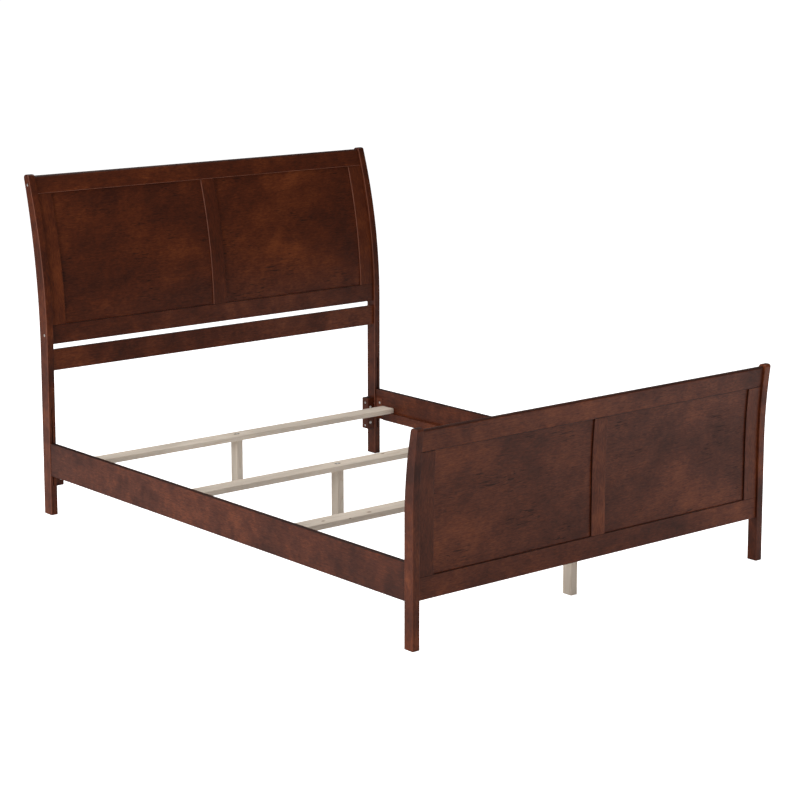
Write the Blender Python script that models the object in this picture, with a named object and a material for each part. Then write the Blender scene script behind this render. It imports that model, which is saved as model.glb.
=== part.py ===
"""Sleigh bed, queen size: a curved frame-and-panel headboard and footboard, two side rails that hook into
slots in the posts, and four pine slats on cleats, each with a leg at its middle.

X runs across the bed, Y from foot to head, Z up. The origin is on the floor at the middle of the whole bed.
A "side" outline is drawn in (y, z) and extruded across; a "plan" outline is drawn in (x, depth) and swept up
the curve of its board. Depth is measured back from the front face of the board's frame.
"""

import math

import bmesh
import bpy
from mathutils import Vector

# Overall sizes
BED_WIDTH = 1.585
FOOT_FACE_TO_HEAD_FACE = 2.092
HEAD_POST_HEIGHT = 1.268
FOOT_POST_HEIGHT = 0.697

# Fits
FIT = 0.0003
PIN_FIT = 0.0003
PANEL_FLOAT = 0.001
RAIL_END_GAP = 0.0004

# Posts
POST_WIDTH = 0.028
HEAD_POST_DEPTH = 0.0485
HEAD_POST_TOP_DEPTH = 0.03312
FOOT_POST_DEPTH = 0.041
FOOT_POST_TOP_DEPTH = 0.03052
POST_EASE = 0.002
POST_TOP_ROUND_FRONT = 0.009
POST_TOP_ROUND_BACK = 0.012
HEAD_FRONT_CURVE_START = 0.65
HEAD_FRONT_CURVE_RADIUS = 1.85
HEAD_BACK_CURVE_START = 0.60
FOOT_FRONT_CURVE_START = 0.42
FOOT_FRONT_CURVE_RADIUS = 1.85
FOOT_BACK_CURVE_START = 0.41

# Headboard and footboard frames
FRAME_THICKNESS = 0.019
HEAD_FRAME_SETBACK = 0.010
FOOT_FRAME_SETBACK = 0.008
TOP_RAIL_ROUND = 0.0085
STILE_WIDTH = 0.061
HEAD_TOP_RAIL_DROP = 0.006
HEAD_TOP_RAIL_HEIGHT = 0.0645
HEAD_PANEL_HEIGHT = 0.482
HEAD_BOTTOM_RAIL_HEIGHT = 0.0705
HEAD_GAP = 0.0215
HEAD_LOWER_RAIL_HEIGHT = 0.0775
FOOT_TOP_RAIL_DROP = 0.007
FOOT_TOP_RAIL_HEIGHT = 0.0725
FOOT_PANEL_HEIGHT = 0.391
FOOT_BOTTOM_RAIL_HEIGHT = 0.072

# Panels and the joints of the frames
PANEL_THICKNESS = 0.006
PANEL_RECESS = 0.0058
GROOVE_DEPTH = 0.009
TENON_LENGTH = 0.012
TENON_THICKNESS = 0.009
TENON_SHOULDER = 0.008

# Side rails, cleats, slats and centre legs
RAIL_THICKNESS = 0.021
RAIL_HEIGHT = 0.123
RAIL_BOTTOM = 0.151
RAIL_INSET = 0.002
RAIL_EASE = 0.0022
CLEAT_HEIGHT = 0.034
CLEAT_DEPTH = 0.020
CLEAT_RISE = 0.0055
CLEAT_END_GAP = 0.070
CLEAT_EASE = 0.0015
SLAT_WIDTH = 0.0705
SLAT_THICKNESS = 0.0197
SLAT_END_GAP = 0.001
SLAT_EASE = 0.0012
SLAT_COUNT = 4
HEAD_SLAT_GAP = 0.0485
FOOT_SLAT_GAP = 0.059
MIDDLE_SLAT_DRAW = 0.0115
LEG_WIDTH = 0.028
LEG_DEPTH = 0.040
LEG_EASE = 0.0012

# Corner blocks on the headboard posts
BLOCK_WIDTH = 0.032
BLOCK_DEPTH = 0.038
BLOCK_HEIGHT = 0.129
BLOCK_BOTTOM = 0.108
BLOCK_SETBACK = 0.0053
BLOCK_EASE = 0.002

# Rail hook plates, their slots and pins
SLOT_FROM_OUTSIDE = 0.0131
SLOT_WIDTH = 0.004
SLOT_HEIGHT = 0.296
SLOT_BOTTOM = 0.109
SLOT_DEPTH = 0.0155
PLATE_THICKNESS = 0.003
PLATE_HEIGHT = 0.094
PLATE_IN_RAIL = 0.038
TONGUE_LENGTH = 0.0135
TONGUE_RISE = 0.012
TONGUE_DROP = 0.006
PIN_RADIUS = 0.0025
PIN_FROM_FACE = 0.0075
PIN_PAST_SLOT = 0.006
PIN_SUNK = 0.0005
POCKET_LENGTH = 0.039
POCKET_HEIGHT = 0.055
POCKET_DEPTH = 0.003

# Fasteners
FRAME_BOLT_RADIUS = 0.003
FRAME_BOLT_HEAD_RADIUS = 0.006
FRAME_BOLT_HEAD_HEIGHT = 0.003
FRAME_BOLT_IN_RAIL = 0.040
FRAME_BOLT_SUNK = 0.0036
BLOCK_BOLT_RADIUS = 0.003
BLOCK_BOLT_HEAD_RADIUS = 0.0055
BLOCK_BOLT_HEAD_HEIGHT = 0.0032
BLOCK_BOLT_LENGTH = 0.030
BLOCK_BOLT_SPACING = 0.065
BLOCK_BOLT_RISE = 0.0268
BLOCK_BOLT_FROM_INSIDE = 0.0124
PLATE_SCREW_RADIUS = 0.002
PLATE_SCREW_HEAD_RADIUS = 0.0048
PLATE_SCREW_HEAD_HEIGHT = 0.0026
PLATE_SCREW_LENGTH = 0.013
PLATE_SCREW_FROM_END = 0.0229
PLATE_SCREW_RISE = 0.0067
LEG_SCREW_RADIUS = 0.0023
LEG_SCREW_HEAD_RADIUS = 0.0047
LEG_SCREW_HEAD_HEIGHT = 0.0035
LEG_SCREW_IN_LEG = 0.040
LEG_SCREW_SUNK = 0.0004

# Fineness of the curves
CURVE_STEP = 0.045
TURNED_SIDES = 16
HOLE_SIDES = 16
HOLE_OVERRUN = 0.004

# Places worked out from the sizes
HALF_WIDTH = BED_WIDTH / 2
POST_INNER_X = HALF_WIDTH - POST_WIDTH
RAIL_OUTER_X = HALF_WIDTH - RAIL_INSET
RAIL_INNER_X = RAIL_OUTER_X - RAIL_THICKNESS
RAIL_TOP = RAIL_BOTTOM + RAIL_HEIGHT
RAIL_MIDDLE = RAIL_BOTTOM + RAIL_HEIGHT / 2
SLOT_X = HALF_WIDTH - SLOT_FROM_OUTSIDE
CLEAT_BOTTOM = RAIL_BOTTOM + CLEAT_RISE
CLEAT_TOP = CLEAT_BOTTOM + CLEAT_HEIGHT
SLAT_BOTTOM = CLEAT_TOP + FIT
SLAT_TOP = SLAT_BOTTOM + SLAT_THICKNESS
FRAME_HALF_WIDTH = POST_INNER_X - FIT
HEAD_TOP_RAIL_TOP = HEAD_POST_HEIGHT - HEAD_TOP_RAIL_DROP
HEAD_TOP_RAIL_BOTTOM = HEAD_TOP_RAIL_TOP - HEAD_TOP_RAIL_HEIGHT
HEAD_BOTTOM_RAIL_TOP = HEAD_TOP_RAIL_BOTTOM - HEAD_PANEL_HEIGHT
HEAD_BOTTOM_RAIL_BOTTOM = HEAD_BOTTOM_RAIL_TOP - HEAD_BOTTOM_RAIL_HEIGHT
HEAD_LOWER_RAIL_TOP = HEAD_BOTTOM_RAIL_BOTTOM - HEAD_GAP
HEAD_LOWER_RAIL_BOTTOM = HEAD_LOWER_RAIL_TOP - HEAD_LOWER_RAIL_HEIGHT
FOOT_TOP_RAIL_TOP = FOOT_POST_HEIGHT - FOOT_TOP_RAIL_DROP
FOOT_TOP_RAIL_BOTTOM = FOOT_TOP_RAIL_TOP - FOOT_TOP_RAIL_HEIGHT
FOOT_BOTTOM_RAIL_TOP = FOOT_TOP_RAIL_BOTTOM - FOOT_PANEL_HEIGHT
FOOT_BOTTOM_RAIL_BOTTOM = FOOT_BOTTOM_RAIL_TOP - FOOT_BOTTOM_RAIL_HEIGHT


def lean(z, start, radius):
    """How far an upright face has swung from plumb at height z: nothing up to start, then a circle's arc."""
    rise = max(0.0, z - start)
    return radius - math.sqrt(radius * radius - rise * rise)


def radius_of(rise, swung):
    """The radius of the arc that swings by a given distance over a given rise."""
    return (rise * rise + swung * swung) / (2 * swung)


def head_front_lean(z):
    return lean(z, HEAD_FRONT_CURVE_START, HEAD_FRONT_CURVE_RADIUS)


def head_back_lean(z):
    """The back of a headboard post, which leaves HEAD_POST_TOP_DEPTH behind the front face at the top."""
    swung = head_front_lean(HEAD_POST_HEIGHT) + HEAD_POST_TOP_DEPTH - HEAD_POST_DEPTH
    return lean(z, HEAD_BACK_CURVE_START, radius_of(HEAD_POST_HEIGHT - HEAD_BACK_CURVE_START, swung))


def foot_front_lean(z):
    return lean(z, FOOT_FRONT_CURVE_START, FOOT_FRONT_CURVE_RADIUS)


def foot_back_lean(z):
    """The back of a footboard post, which leaves FOOT_POST_TOP_DEPTH behind the front face at the top."""
    swung = foot_front_lean(FOOT_POST_HEIGHT) + FOOT_POST_DEPTH - FOOT_POST_TOP_DEPTH
    return lean(z, FOOT_BACK_CURVE_START, radius_of(FOOT_POST_HEIGHT - FOOT_BACK_CURVE_START, swung))


def stations(low, high, curve_start):
    """Heights from low to high, close enough together above curve_start to follow the curve."""
    heights = [low]
    bend = max(low, curve_start)
    if low < bend < high:
        heights.append(bend)
    count = max(1, math.ceil((high - bend) / CURVE_STEP)) if high > bend else 0
    heights += [bend + (high - bend) * i / count for i in range(1, count + 1)]
    if heights[-1] < high:
        heights.append(high)
    return heights


def rounded(points, radii, steps=4):
    """A closed outline with the corners named in radii {index: radius} replaced by arcs."""
    result = []
    for i, point in enumerate(points):
        radius = radii.get(i, 0.0)
        if radius <= 0:
            result.append(point)
            continue
        corner = Vector(point)
        before = (Vector(points[i - 1]) - corner).normalized()
        after = (Vector(points[(i + 1) % len(points)]) - corner).normalized()
        half = before.angle(after) / 2
        centre = corner + (before + after).normalized() * (radius / math.sin(half))
        first = corner + before * (radius / math.tan(half)) - centre
        turn = math.pi - 2 * half
        side = 1 if before.x * after.y - before.y * after.x < 0 else -1
        for k in range(steps + 1):
            angle = side * turn * k / steps
            spoke = Vector(
                (
                    first.x * math.cos(angle) - first.y * math.sin(angle),
                    first.x * math.sin(angle) + first.y * math.cos(angle),
                )
            )
            result.append(tuple(centre + spoke))
    return result


def post_outline(height, depth, front_lean, back_lean, front_start, back_start, direction):
    """A post's side outline in (y, z), its front face plumb at y = 0 and leaning towards direction."""
    top_margin = 2 * POST_TOP_ROUND_BACK
    front = [(direction * front_lean(z), z) for z in stations(0.0, height - top_margin, front_start)]
    back = [(depth + direction * back_lean(z), z) for z in stations(0.0, height - top_margin, back_start)]
    front_top = (direction * front_lean(height), height)
    back_top = (depth + direction * back_lean(height), height)
    outline = back + [back_top, front_top] + front[::-1]
    corners = {len(back): POST_TOP_ROUND_BACK, len(back) + 1: POST_TOP_ROUND_FRONT}
    return rounded(outline, corners)


def head_post_outline():
    return post_outline(
        HEAD_POST_HEIGHT,
        HEAD_POST_DEPTH,
        head_front_lean,
        head_back_lean,
        HEAD_FRONT_CURVE_START,
        HEAD_BACK_CURVE_START,
        1,
    )


def foot_post_outline():
    return post_outline(
        FOOT_POST_HEIGHT,
        FOOT_POST_DEPTH,
        foot_front_lean,
        foot_back_lean,
        FOOT_FRONT_CURVE_START,
        FOOT_BACK_CURVE_START,
        -1,
    )


def foot_face_y():
    """Where the plumb front face of the footboard posts stands, so that the whole bed is centred on Y = 0."""
    foremost = min(y for y, _ in foot_post_outline())
    rearmost = max(y for y, _ in head_post_outline()) + FOOT_FACE_TO_HEAD_FACE
    return -(foremost + rearmost) / 2


FOOT_FACE_Y = foot_face_y()
HEAD_FACE_Y = FOOT_FACE_Y + FOOT_FACE_TO_HEAD_FACE
FOOT_INNER_Y = FOOT_FACE_Y + FOOT_POST_DEPTH


def head_frame_y(z):
    """The front face of the headboard's frame at height z."""
    return HEAD_FACE_Y + HEAD_FRAME_SETBACK + head_front_lean(z)


def foot_frame_y(z):
    """The front face of the footboard's frame at height z."""
    return FOOT_FACE_Y + FOOT_FRAME_SETBACK - foot_front_lean(z)


# Materials


def material(name, colour, roughness, metallic=0.0):
    """A Principled material with one colour."""
    made = bpy.data.materials.new(name)
    made.use_nodes = True
    made.diffuse_color = (*colour, 1.0)
    shader = made.node_tree.nodes["Principled BSDF"]
    shader.inputs["Base Color"].default_value = (*colour, 1.0)
    shader.inputs["Roughness"].default_value = roughness
    shader.inputs["Metallic"].default_value = metallic
    return made


def new_object(name, mesh, finish):
    made = bpy.data.objects.new(name, mesh)
    bpy.context.scene.collection.objects.link(made)
    if finish is not None:
        mesh.materials.append(finish)
    return made


# Solids


def mesh_from(name, vertices, faces):
    """A mesh with its faces turned outwards."""
    mesh = bpy.data.meshes.new(name)
    mesh.from_pydata(vertices, [], faces)
    work = bmesh.new()
    work.from_mesh(mesh)
    bmesh.ops.recalc_face_normals(work, faces=work.faces)
    work.to_mesh(mesh)
    work.free()
    return mesh


def bridged(rings):
    """Faces that join a stack of equal rings and close both ends."""
    count = len(rings[0])
    vertices = [point for ring in rings for point in ring]
    faces = [tuple(range(count)), tuple(range((len(rings) - 1) * count, len(rings) * count))]
    for level in range(len(rings) - 1):
        for i in range(count):
            j = (i + 1) % count
            low = level * count
            faces.append((low + i, low + j, low + count + j, low + count + i))
    return vertices, faces


def extruded_across(name, outline, x_low, x_high, finish):
    """A side outline in (y, z), extruded along X."""
    rings = [[(x, y, z) for y, z in outline] for x in (x_low, x_high)]
    return new_object(name, mesh_from(name, *bridged(rings)), finish)


def curved_bar(name, outline, frame_y, curve_start, x_low, x_high, finish):
    """A bar across a board: its outline in (depth, z) follows the board's curve."""
    bent = []
    for i, (depth, z) in enumerate(outline):
        next_depth, next_z = outline[(i + 1) % len(outline)]
        low, high = sorted((z, next_z))
        between = stations(low, high, curve_start)[1:-1] if high - low > CURVE_STEP else []
        if next_z < z:
            between = between[::-1]
        bent.append((frame_y(z) + depth, z))
        for height in between:
            share = (height - z) / (next_z - z)
            bent.append((frame_y(height) + depth + (next_depth - depth) * share, height))
    return extruded_across(name, bent, x_low, x_high, finish)


def curved_upright(name, plan, frame_y, curve_start, z_low, z_high, finish):
    """An upright of a board: its plan in (x, depth) is swept up the board's curve."""
    rings = []
    for z in stations(z_low, z_high, curve_start):
        rings.append([(x, frame_y(z) + depth, z) for x, depth in plan])
    return new_object(name, mesh_from(name, *bridged(rings)), finish)


def block(name, low, high, finish):
    """A box between two corners."""
    rings = []
    for z in (low[2], high[2]):
        rings.append([(low[0], low[1], z), (high[0], low[1], z), (high[0], high[1], z), (low[0], high[1], z)])
    return new_object(name, mesh_from(name, *bridged(rings)), finish)


def turned(name, profile, place, axis, finish, sides=TURNED_SIDES):
    """A turned piece. profile is [(radius, distance along axis)], from one end of the axis to the other."""
    work = bmesh.new()
    profile_vertices = [work.verts.new((radius, 0.0, along)) for radius, along in profile]
    edges = [work.edges.new(pair) for pair in zip(profile_vertices, profile_vertices[1:])]
    bmesh.ops.spin(
        work,
        geom=profile_vertices + edges,
        cent=(0.0, 0.0, 0.0),
        axis=(0.0, 0.0, 1.0),
        angle=2 * math.pi,
        steps=sides,
        use_duplicate=False,
    )
    bmesh.ops.remove_doubles(work, verts=work.verts, dist=0.00001)
    bmesh.ops.recalc_face_normals(work, faces=work.faces)
    mesh = bpy.data.meshes.new(name)
    work.to_mesh(mesh)
    work.free()
    mesh.shade_smooth()
    mesh.set_sharp_from_angle(angle=math.radians(35))
    made = new_object(name, mesh, finish)
    made.location = place
    made.rotation_mode = "QUATERNION"
    made.rotation_quaternion = Vector((0.0, 0.0, 1.0)).rotation_difference(Vector(axis))
    return made


def bolt_profile(head_radius, head_height, radius, length):
    """A domed head above 0 and a shank below it with a short point."""
    dome = []
    for k in range(5):
        angle = math.pi / 2 * k / 4
        dome.append((head_radius * math.sin(angle), head_height * (0.35 + 0.65 * math.cos(angle))))
    point = radius
    return dome + [(head_radius, 0.0), (radius, 0.0), (radius, -length + point), (0.0, -length)]


def flush_profile(head_radius, head_height, radius, length):
    """A flat countersunk head whose top is at 0, and a shank below it with a short point."""
    point = 2 * radius
    return [
        (0.0, 0.0),
        (head_radius, 0.0),
        (radius, -head_height),
        (radius, -length + point),
        (0.0, -length),
    ]


# Modifiers


def ease(made, width, segments=2, angle=40.0):
    """Rounds every sharp edge by width."""
    bevel = made.modifiers.new("ease", "BEVEL")
    bevel.width = width
    bevel.segments = segments
    bevel.limit_method = "ANGLE"
    bevel.angle_limit = math.radians(angle)
    bevel.use_clamp_overlap = True
    made.data.shade_smooth()
    made.data.set_sharp_from_angle(angle=math.radians(30))


def helper(made):
    """Hides a cutter or an added piece, which only serves a Boolean."""
    made.hide_render = True
    made.display_type = "WIRE"
    return made


def boolean(made, other, operation):
    step = made.modifiers.new(operation.lower(), "BOOLEAN")
    step.operation = operation
    step.object = helper(other)
    step.solver = "EXACT"


def cut(made, cutter):
    boolean(made, cutter, "DIFFERENCE")


def join(made, added):
    boolean(made, added, "UNION")


def round_cutter(name, radius, start, direction, length):
    """A round cutter that begins at start and runs along direction."""
    profile = [(0.0, 0.0), (radius, 0.0), (radius, length), (0.0, length)]
    return turned(name, profile, start, direction, None, HOLE_SIDES)


# Sub-parts


def frame_tenon_box(side, rail_low, rail_high, frame_y, extra):
    """The corners of the stub tenon on a rail's end: side is -1 or 1, and extra makes the mortise."""
    middle_z = (rail_low + rail_high) / 2
    depth_low = (FRAME_THICKNESS - TENON_THICKNESS) / 2
    y_low = frame_y(middle_z) + depth_low
    root = FRAME_HALF_WIDTH - FIT
    tip = FRAME_HALF_WIDTH + TENON_LENGTH
    low_x, high_x = sorted((side * (root - extra), side * (tip + extra)))
    low = (low_x, y_low - extra, rail_low + TENON_SHOULDER - extra)
    high = (high_x, y_low + TENON_THICKNESS + extra, rail_high - TENON_SHOULDER + extra)
    return low, high


TENONED_RAILS = {
    "headboard_lower_rail": (HEAD_LOWER_RAIL_BOTTOM, HEAD_LOWER_RAIL_TOP, head_frame_y),
    "footboard_top_rail": (FOOT_TOP_RAIL_BOTTOM, FOOT_TOP_RAIL_TOP, foot_frame_y),
    "footboard_bottom_rail": (FOOT_BOTTOM_RAIL_BOTTOM, FOOT_BOTTOM_RAIL_TOP, foot_frame_y),
}


def add_tenons(rail):
    for side in (-1, 1):
        low, high = frame_tenon_box(side, *TENONED_RAILS[rail.name], 0.0)
        join(rail, block(f"tenon_{rail.name}_{side + 1}", low, high, None))


def cut_mortises(post, side, rails):
    for rail in rails:
        low, high = frame_tenon_box(side, *TENONED_RAILS[rail], FIT)
        cut(post, block(f"mortise_{rail}_{side + 1}", low, high, None))


def slot_box(side, face_y, into):
    """The hook plate's slot in a post: into is +1 or -1, the way into the post along Y."""
    y_low, y_high = sorted((face_y - into * HOLE_OVERRUN, face_y + into * SLOT_DEPTH))
    x_low, x_high = sorted((side * (SLOT_X - SLOT_WIDTH / 2), side * (SLOT_X + SLOT_WIDTH / 2)))
    return (x_low, y_low, SLOT_BOTTOM), (x_high, y_high, SLOT_BOTTOM + SLOT_HEIGHT)


def pin_place(side, face_y, into):
    """The inner end and the length of the hook's pin, which runs outwards along X."""
    start_x = POST_INNER_X + PIN_SUNK
    end_x = SLOT_X + SLOT_WIDTH / 2 + PIN_PAST_SLOT
    return (side * start_x, face_y + into * PIN_FROM_FACE, RAIL_MIDDLE), end_x - start_x


def cut_hook_joint(post, side, face_y, into):
    cut(post, block(f"slot_{post.name}", *slot_box(side, face_y, into), None))
    place, length = pin_place(side, face_y, into)
    start = (place[0] - side * HOLE_OVERRUN, place[1], place[2])
    hole_length = length + HOLE_OVERRUN + FIT
    cut(post, round_cutter(f"pin_hole_{post.name}", PIN_RADIUS + PIN_FIT, start, (side, 0, 0), hole_length))


def frame_bolt_place(side, rail_low, rail_high):
    """The seat of a frame bolt's head, which runs inwards along X through the post into the rail's end."""
    z = (rail_low + rail_high) / 2
    return (side * (HALF_WIDTH - FRAME_BOLT_SUNK), head_frame_y(z) + FRAME_THICKNESS / 2, z)


BOLTED_RAILS = {
    "top": (HEAD_TOP_RAIL_BOTTOM, HEAD_TOP_RAIL_TOP),
    "bottom": (HEAD_BOTTOM_RAIL_BOTTOM, HEAD_BOTTOM_RAIL_TOP),
}


def cut_frame_bolt_holes(post, side):
    for rail, heights in BOLTED_RAILS.items():
        seat = frame_bolt_place(side, *heights)
        inwards = (-side, 0, 0)
        bore = FRAME_BOLT_RADIUS + FIT
        length = POST_WIDTH + HOLE_OVERRUN
        cut(post, round_cutter(f"bolt_hole_{rail}_{side + 1}", bore, seat, inwards, length))
        mouth = (side * (HALF_WIDTH + HOLE_OVERRUN), seat[1], seat[2])
        counterbore = FRAME_BOLT_HEAD_RADIUS + FIT
        depth = HOLE_OVERRUN + FRAME_BOLT_SUNK + FIT
        cut(post, round_cutter(f"counterbore_{rail}_{side + 1}", counterbore, mouth, inwards, depth))


def head_posts(finish):
    for side, name in ((-1, "left"), (1, "right")):
        outline = [(HEAD_FACE_Y + y, z) for y, z in head_post_outline()]
        x_low, x_high = sorted((side * POST_INNER_X, side * HALF_WIDTH))
        post = extruded_across(f"headboard_post_{name}", outline, x_low, x_high, finish)
        ease(post, POST_EASE)
        cut_hook_joint(post, side, HEAD_FACE_Y, 1)
        cut_mortises(post, side, ["headboard_lower_rail"])
        cut_frame_bolt_holes(post, side)


def foot_posts(finish):
    for side, name in ((-1, "left"), (1, "right")):
        outline = [(FOOT_FACE_Y + y, z) for y, z in foot_post_outline()]
        x_low, x_high = sorted((side * POST_INNER_X, side * HALF_WIDTH))
        post = extruded_across(f"footboard_post_{name}", outline, x_low, x_high, finish)
        ease(post, POST_EASE)
        cut_hook_joint(post, side, FOOT_INNER_Y, -1)
        cut_mortises(post, side, ["footboard_top_rail", "footboard_bottom_rail"])


def groove_depths():
    """The front and the back of the groove that holds a panel."""
    return PANEL_RECESS - FIT, PANEL_RECESS + PANEL_THICKNESS + FIT


def rail_outline(low, high, groove_above, groove_below, round_top):
    """A frame rail's outline in (depth, z), with a panel groove in its upper or lower edge."""
    front, back = groove_depths()
    points = [(0.0, low)]
    if groove_below:
        points += [(front, low), (front, low + GROOVE_DEPTH), (back, low + GROOVE_DEPTH), (back, low)]
    points += [(FRAME_THICKNESS, low), (FRAME_THICKNESS, high)]
    if groove_above:
        points += [(back, high), (back, high - GROOVE_DEPTH), (front, high - GROOVE_DEPTH), (front, high)]
    points.append((0.0, high))
    if not round_top:
        return points
    last = len(points) - 1
    return rounded(points, {last - 1: TOP_RAIL_ROUND, last: TOP_RAIL_ROUND})


def frame_rails(finish):
    head = (head_frame_y, HEAD_FRONT_CURVE_START)
    foot = (foot_frame_y, FOOT_FRONT_CURVE_START)
    rails = (
        ("headboard_top_rail", HEAD_TOP_RAIL_BOTTOM, HEAD_TOP_RAIL_TOP, head, False, True, True),
        ("headboard_bottom_rail", HEAD_BOTTOM_RAIL_BOTTOM, HEAD_BOTTOM_RAIL_TOP, head, True, False, False),
        ("headboard_lower_rail", HEAD_LOWER_RAIL_BOTTOM, HEAD_LOWER_RAIL_TOP, head, False, False, False),
        ("footboard_top_rail", FOOT_TOP_RAIL_BOTTOM, FOOT_TOP_RAIL_TOP, foot, False, True, True),
        ("footboard_bottom_rail", FOOT_BOTTOM_RAIL_BOTTOM, FOOT_BOTTOM_RAIL_TOP, foot, True, False, False),
    )
    for name, low, high, (frame_y, curve_start), groove_above, groove_below, round_top in rails:
        outline = rail_outline(low, high, groove_above, groove_below, round_top)
        ends = (-FRAME_HALF_WIDTH, FRAME_HALF_WIDTH)
        rail = curved_bar(name, outline, frame_y, curve_start, *ends, finish)
        if name in TENONED_RAILS:
            add_tenons(rail)
    for rail, heights in BOLTED_RAILS.items():
        for side in (-1, 1):
            seat = frame_bolt_place(side, *heights)
            start = (side * (FRAME_HALF_WIDTH + HOLE_OVERRUN), seat[1], seat[2])
            bore = FRAME_BOLT_RADIUS + FIT
            depth = HOLE_OVERRUN + FRAME_BOLT_IN_RAIL + FIT
            hole = round_cutter(f"rail_bore_{rail}_{side + 1}", bore, start, (-side, 0, 0), depth)
            cut(bpy.data.objects[f"headboard_{rail}_rail"], hole)


def stile_plan(x_low, x_high, groove_low, groove_high):
    """A stile's plan in (x, depth), with a panel groove in its low-x or high-x edge."""
    front, back = groove_depths()
    points = [(x_low, 0.0), (x_high, 0.0)]
    if groove_high:
        inner = x_high - GROOVE_DEPTH
        points += [(x_high, front), (inner, front), (inner, back), (x_high, back)]
    points += [(x_high, FRAME_THICKNESS), (x_low, FRAME_THICKNESS)]
    if groove_low:
        inner = x_low + GROOVE_DEPTH
        points += [(x_low, back), (inner, back), (inner, front), (x_low, front)]
    return points


def stile_edges():
    """The (low, high) x of each stile."""
    outer = FRAME_HALF_WIDTH - FIT
    return {
        "left": (-outer, -outer + STILE_WIDTH),
        "centre": (-STILE_WIDTH / 2, STILE_WIDTH / 2),
        "right": (outer - STILE_WIDTH, outer),
    }


def stiles_and_panels(board, frame_y, curve_start, low, high, stile_finish, panel_finish):
    """The three stiles and two panels between a board's bottom rail (low) and top rail (high)."""
    edges = stile_edges()
    front, back = groove_depths()
    stub = GROOVE_DEPTH - PANEL_FLOAT
    for where, (x_low, x_high) in edges.items():
        plan = stile_plan(x_low, x_high, where != "left", where != "right")
        name = f"{board}_stile_{where}"
        stile = curved_upright(name, plan, frame_y, curve_start, low + FIT, high - FIT, stile_finish)
        # The stub runs in the rails' grooves, and stops short of the stile's own grooves.
        stub_low = x_low + (GROOVE_DEPTH + FIT if where != "left" else 0.0)
        stub_high = x_high - (GROOVE_DEPTH + FIT if where != "right" else 0.0)
        near, far = front + FIT, back - FIT
        corners = [(stub_low, near), (stub_high, near), (stub_high, far), (stub_low, far)]
        for end, stub_z in (("low", (low - stub, low + 2 * FIT)), ("high", (high - 2 * FIT, high + stub))):
            added = curved_upright(f"stub_{end}_{name}", corners, frame_y, curve_start, *stub_z, None)
            join(stile, added)
    for where, x_low, x_high in (
        ("left", edges["left"][1], edges["centre"][0]),
        ("right", edges["centre"][1], edges["right"][0]),
    ):
        plan = [
            (x_low - stub, PANEL_RECESS),
            (x_high + stub, PANEL_RECESS),
            (x_high + stub, PANEL_RECESS + PANEL_THICKNESS),
            (x_low - stub, PANEL_RECESS + PANEL_THICKNESS),
        ]
        name = f"{board}_panel_{where}"
        curved_upright(name, plan, frame_y, curve_start, low - stub, high + stub, panel_finish)


def screw_place(side, end_y, into):
    """The seat of a plate screw's head in the rail's pocket, near the rail end at end_y."""
    seat_x = RAIL_INNER_X + POCKET_DEPTH
    return (side * seat_x, end_y - into * PLATE_SCREW_FROM_END, RAIL_MIDDLE + PLATE_SCREW_RISE)


RAIL_ENDS = {"head": (HEAD_FACE_Y, 1), "foot": (FOOT_INNER_Y, -1)}


def side_rails(finish):
    for side, name in ((-1, "left"), (1, "right")):
        x_low, x_high = sorted((side * RAIL_INNER_X, side * RAIL_OUTER_X))
        low = (x_low, FOOT_INNER_Y + RAIL_END_GAP, RAIL_BOTTOM)
        high = (x_high, HEAD_FACE_Y - RAIL_END_GAP, RAIL_TOP)
        rail = block(f"side_rail_{name}", low, high, finish)
        ease(rail, RAIL_EASE)
        for end, (face_y, into) in RAIL_ENDS.items():
            tag = f"{name}_{end}"
            kerf_y = sorted((face_y + into * HOLE_OVERRUN, face_y - into * (PLATE_IN_RAIL + 2 * FIT)))
            kerf_x = sorted((side * (SLOT_X - PLATE_THICKNESS / 2), side * (SLOT_X + PLATE_THICKNESS / 2)))
            kerf_z = (RAIL_MIDDLE - PLATE_HEIGHT / 2 - FIT, RAIL_MIDDLE + PLATE_HEIGHT / 2 + FIT)
            kerf_low = (kerf_x[0] - FIT, kerf_y[0], kerf_z[0])
            kerf_high = (kerf_x[1] + FIT, kerf_y[1], kerf_z[1])
            cut(rail, block(f"kerf_{tag}", kerf_low, kerf_high, None))
            pocket_x = sorted((side * (RAIL_INNER_X - HOLE_OVERRUN), side * (RAIL_INNER_X + POCKET_DEPTH)))
            pocket_y = sorted((face_y + into * HOLE_OVERRUN, face_y - into * POCKET_LENGTH))
            pocket_low = (pocket_x[0], pocket_y[0], RAIL_MIDDLE - POCKET_HEIGHT / 2)
            pocket_high = (pocket_x[1], pocket_y[1], RAIL_MIDDLE + POCKET_HEIGHT / 2)
            cut(rail, block(f"pocket_{tag}", pocket_low, pocket_high, None))
            seat = screw_place(side, face_y, into)
            start = (seat[0] - side * FIT, seat[1], seat[2])
            bore = PLATE_SCREW_RADIUS + FIT
            length = PLATE_SCREW_LENGTH + 3 * FIT
            cut(rail, round_cutter(f"screw_bore_{tag}", bore, start, (side, 0, 0), length))


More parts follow.
